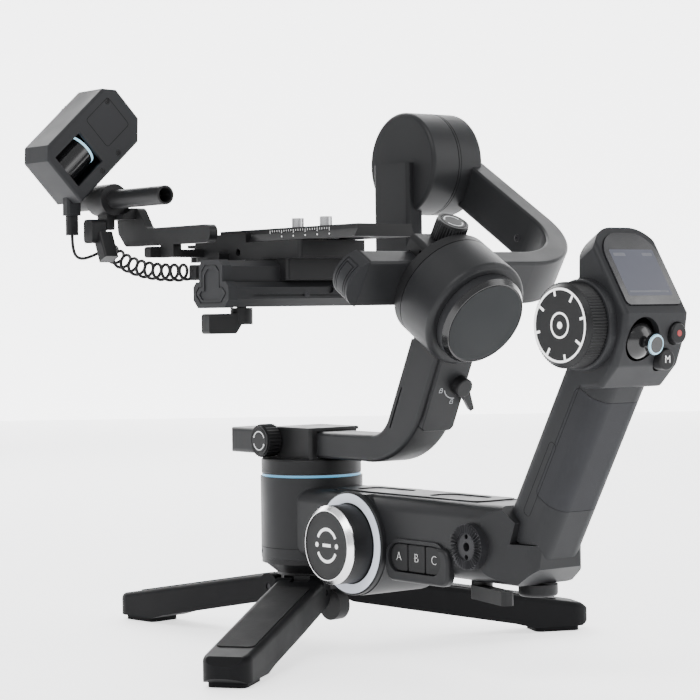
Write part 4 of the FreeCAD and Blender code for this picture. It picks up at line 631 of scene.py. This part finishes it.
def detail_rail():
    rear = aligned(mm(-9.0, -10.7, 178.6), -Y_AXIS, Z_AXIS)
    screw("rail_screw", rear, 1.7, TOOTHED, "tilt", 0.25)
    plate_side = on_side(-21.0, 0, 0)
    # Local x runs towards the operator, so a station at y is drawn at -y.
    ticks = []
    for i in range(26):
        station = 4.0 - 2.0 * i
        long = i % 5 == 0
        ticks.append(bar(-station, 210.9, -station, 209.2 if long else 210.0, 0.22))
        if long and i:
            ticks.append(dot(0.42, -station, 207.6, 16))
    mark("plate_scale", ticks, plate_side, WHITE_INK_PAINTED_GLOW, "plate", LINE)
    arm_screw = on_side(88.0, -61.7, 205.9)
    screw("arm_screw", arm_screw, 2.0, TOOTHED, "roll_slide", 0.35)
    split = aligned(mm(0, 0, GIMBAL_Z), X_AXIS, Z_AXIS)
    seam = ((26.8, 80.6), (27.06, 80.6), (27.06, 80.95), (26.8, 80.95))
    turned("tilt_seam", seam, split, SHADOW, "roll_slide", FINE_STEPS)


def detail_focus():
    for i, (x, z) in enumerate(((20.0, 11.0), (6.0, -13.4), (-8.0, -13.8))):
        place = facing(FOCUS_FRAME, (x, 0.7, z), (0, -1, 0), (0, 0, 1))
        screw("focus_screw_%d" % (i + 1), place, 1.35, ANODISED, "base", 0.5)
    side = facing(FOCUS_FRAME, (9.0, 0, 2.0), (0, -1, 0), (0, 0, 1))
    panel = framed_box(-6.0, 13.0, -9.0, 10.5, 1.8, 0.3)
    mark("focus_panel", panel, side, SHADOW, "base", LINE)


def add_details():
    detail_wheels()
    detail_lights()
    detail_head()
    detail_body()
    detail_grip()
    detail_roll()
    detail_rail()
    detail_focus()


# ---- cords -------------------------------------------------------------------

CORD_WIRE = 0.0017
CURL_RADIUS = 0.005
CURL_PITCH = 0.0073
CURL_STEPS = 14
CURL_EASE = 0.8     # turns over which the coil opens to its full width
CURL_CLOSED = 0.12  # share of the full width that it starts from
# The same routes as the CAD solids have.
CURL_ROUTE = (
    (-0.0473, 0.1207, 0.2055),
    (-0.0479, 0.1099, 0.2003),
    (-0.0472, 0.0935, 0.1948),
    (-0.0460, 0.0760, 0.1918),
    (-0.0445, 0.0598, 0.1907),
    (-0.0423, 0.0436, 0.1905),
)
LEAD_ROUTE = (
    (-0.0710, 0.1160, 0.2120),
    (-0.0710, 0.1160, 0.2040),
    (-0.0660, 0.1180, 0.1990),
    (-0.0560, 0.1200, 0.2010),
    (-0.0485, 0.1196, 0.2046),
)


def nurbs(name, points):
    """One open NURBS spline through to both ends, with the given control points."""
    curve = bpy.data.curves.new(name, "CURVE")
    curve.dimensions = "3D"
    spline = curve.splines.new("NURBS")
    spline.points.add(len(points) - 1)
    for point, place in zip(spline.points, points):
        point.co = (*place, 1.0)
    spline.order_u = 3
    spline.use_endpoint_u = True
    curve.resolution_u = 12
    return curve


def spline_line(curve):
    """Points along the curve's own line, as Blender evaluates it."""
    holder = bpy.data.objects.new("line_reader", curve)
    bpy.context.scene.collection.objects.link(holder)
    mesh = bpy.data.meshes.new_from_object(holder)
    points = [vertex.co.copy() for vertex in mesh.vertices]
    bpy.data.objects.remove(holder)
    bpy.data.meshes.remove(mesh)
    return points


def helix(line, radius, pitch, per_turn):
    """Points of a coil wound round a line, easing in and out of its full radius."""
    lengths = [0.0]
    for a, b in zip(line, line[1:]):
        lengths.append(lengths[-1] + (b - a).length)
    total = lengths[-1]
    turns = round(total / pitch)
    count = turns * per_turn
    side = (line[1] - line[0]).cross(X_AXIS).normalized()
    points = []
    segment = 0
    for i in range(count + 1):
        along = total * i / count
        while segment < len(line) - 2 and lengths[segment + 1] < along:
            segment += 1
        step = (along - lengths[segment]) / (lengths[segment + 1] - lengths[segment])
        centre = line[segment].lerp(line[segment + 1], step)
        ahead = (line[segment + 1] - line[segment]).normalized()
        side = (side - ahead * side.dot(ahead)).normalized()
        across = ahead.cross(side)
        ease = min(1.0, along / (CURL_EASE * pitch), (total - along) / (CURL_EASE * pitch))
        reach = radius * (CURL_CLOSED + (1 - CURL_CLOSED) * math.sin(ease * math.pi / 2))
        angle = 2 * math.pi * i / per_turn
        points.append(centre + side * (reach * math.cos(angle)) + across * (reach * math.sin(angle)))
    return points


def length_of(line):
    """Length of a line of points, in metres."""
    return sum((b - a).length for a, b in zip(line, line[1:]))


def add_cord(name, points, body):
    """Round cord along the points; also says how long its centre line is."""
    curve = nurbs(name, points)
    length = length_of(spline_line(curve))
    curve.bevel_depth = CORD_WIRE / 2
    curve.bevel_resolution = 4
    curve.use_fill_caps = True
    made = bpy.data.objects.new(name, curve)
    bpy.context.scene.collection.objects.link(made)
    curve.materials.append(CORD_SKIN)
    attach(made, body)
    return made, length


def add_cords():
    lead, lead_length = add_cord("motor_lead_cord", LEAD_ROUTE, "base")
    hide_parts("motor_lead")
    centre = spline_line(nurbs("curl_centre", CURL_ROUTE))
    coil = helix(centre, CURL_RADIUS - CORD_WIRE / 2, CURL_PITCH, CURL_STEPS)
    curl, curl_length = add_cord("curly_cord_coil", coil, "base")
    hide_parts("curly_cord")


# ---- stage -------------------------------------------------------------------


def stage_piece(name, corners, paint, scale, detail, light, dark):
    """One lit sheet of the studio, faintly clouded; it is not part of the object."""
    cloud = paint.noise(scale, detail)
    paint.colour(paint.mixed(paint.spread(cloud, 0.0, 0.2), light, dark))
    mesh = bpy.data.meshes.new(name)
    mesh.from_pydata(corners, [], [(0, 1, 2, 3)])
    mesh.materials.append(paint.material)
    made = bpy.data.objects.new(name, mesh)
    bpy.context.scene.collection.objects.link(made)
    return made


def add_stage():
    paint = Paint("pale_floor").set(rough=0.6, specular=0.1, glow_colour=(1, 1, 1), glow=1.5)
    corners = [(x * FLOOR_HALF, y * FLOOR_HALF, 0) for x, y in ((-1, -1), (1, -1), (1, 1), (-1, 1))]
    floor = stage_piece("floor", corners, paint, 4.0, 3.0, (0.93, 0.93, 0.94), (0.90, 0.90, 0.91))
    floor.location.z = -FLOOR_DROP

    paint = Paint("pale_backdrop").set(rough=0.9, specular=0.0, glow_colour=(1, 1, 1), glow=3.0)
    azimuth = math.radians(AZIMUTH)
    behind = Vector((math.sin(azimuth), math.cos(azimuth), 0)) * BACKDROP_DISTANCE
    across = Vector((behind.y, -behind.x, 0)).normalized() * BACKDROP_HALF
    rise = Z_AXIS * BACKDROP_HEIGHT
    corners = [behind - across, behind + across, behind + across + rise, behind - across + rise]
    stage_piece("backdrop", corners, paint, 2.0, 2.0, (0.95, 0.95, 0.96), (0.92, 0.92, 0.93))

    world = bpy.data.worlds.new("studio")
    bpy.context.scene.world = world
    world.use_nodes = True
    background = world.node_tree.nodes["Background"]
    background.inputs["Color"].default_value = (0.985, 0.99, 1.0, 1.0)
    background.inputs["Strength"].default_value = 0.9


def area_light(name, place, target, size, power):
    light = bpy.data.lights.new(name, "AREA")
    light.energy = power
    light.size = size
    lamp = bpy.data.objects.new(name, light)
    bpy.context.scene.collection.objects.link(lamp)
    lamp.location = place
    lamp.rotation_euler = (target - place).to_track_quat("-Z", "Y").to_euler()


def add_lights():
    middle = Vector((0, -0.05, 0.15))
    area_light("key", Vector((-0.9, -0.6, 1.3)), middle, 0.9, 20.0)
    area_light("fill", Vector((0.9, -1.1, 0.7)), middle, 1.0, 12.0)
    area_light("back", Vector((0.4, 1.2, 0.9)), middle, 0.8, 10.0)


def add_camera():
    """Long lens, a little above the body, looking forward past the handle."""
    azimuth = math.radians(AZIMUTH)
    drop = math.radians(DROP)
    roll = math.radians(ROLL)
    flat = Vector((math.sin(azimuth), math.cos(azimuth), 0))
    level = Vector((math.cos(azimuth), -math.sin(azimuth), 0))
    ahead = flat * math.cos(drop) - Z_AXIS * math.sin(drop)
    above = Z_AXIS * math.cos(drop) + flat * math.sin(drop)
    right = level * math.cos(roll) - above * math.sin(roll)
    up = above * math.cos(roll) + level * math.sin(roll)
    camera = bpy.data.cameras.new("camera")
    camera.lens = LENS
    camera.sensor_width = 36.0
    camera.clip_start = 0.01
    holder = bpy.data.objects.new("camera", camera)
    bpy.context.scene.collection.objects.link(holder)
    turn = Matrix((right, up, -ahead)).transposed().to_4x4()
    holder.matrix_world = Matrix.Translation(CAMERA_PLACE) @ turn
    bpy.context.scene.camera = holder


paint_nodes()
add_details()
add_cords()
add_stage()
add_lights()
add_camera()
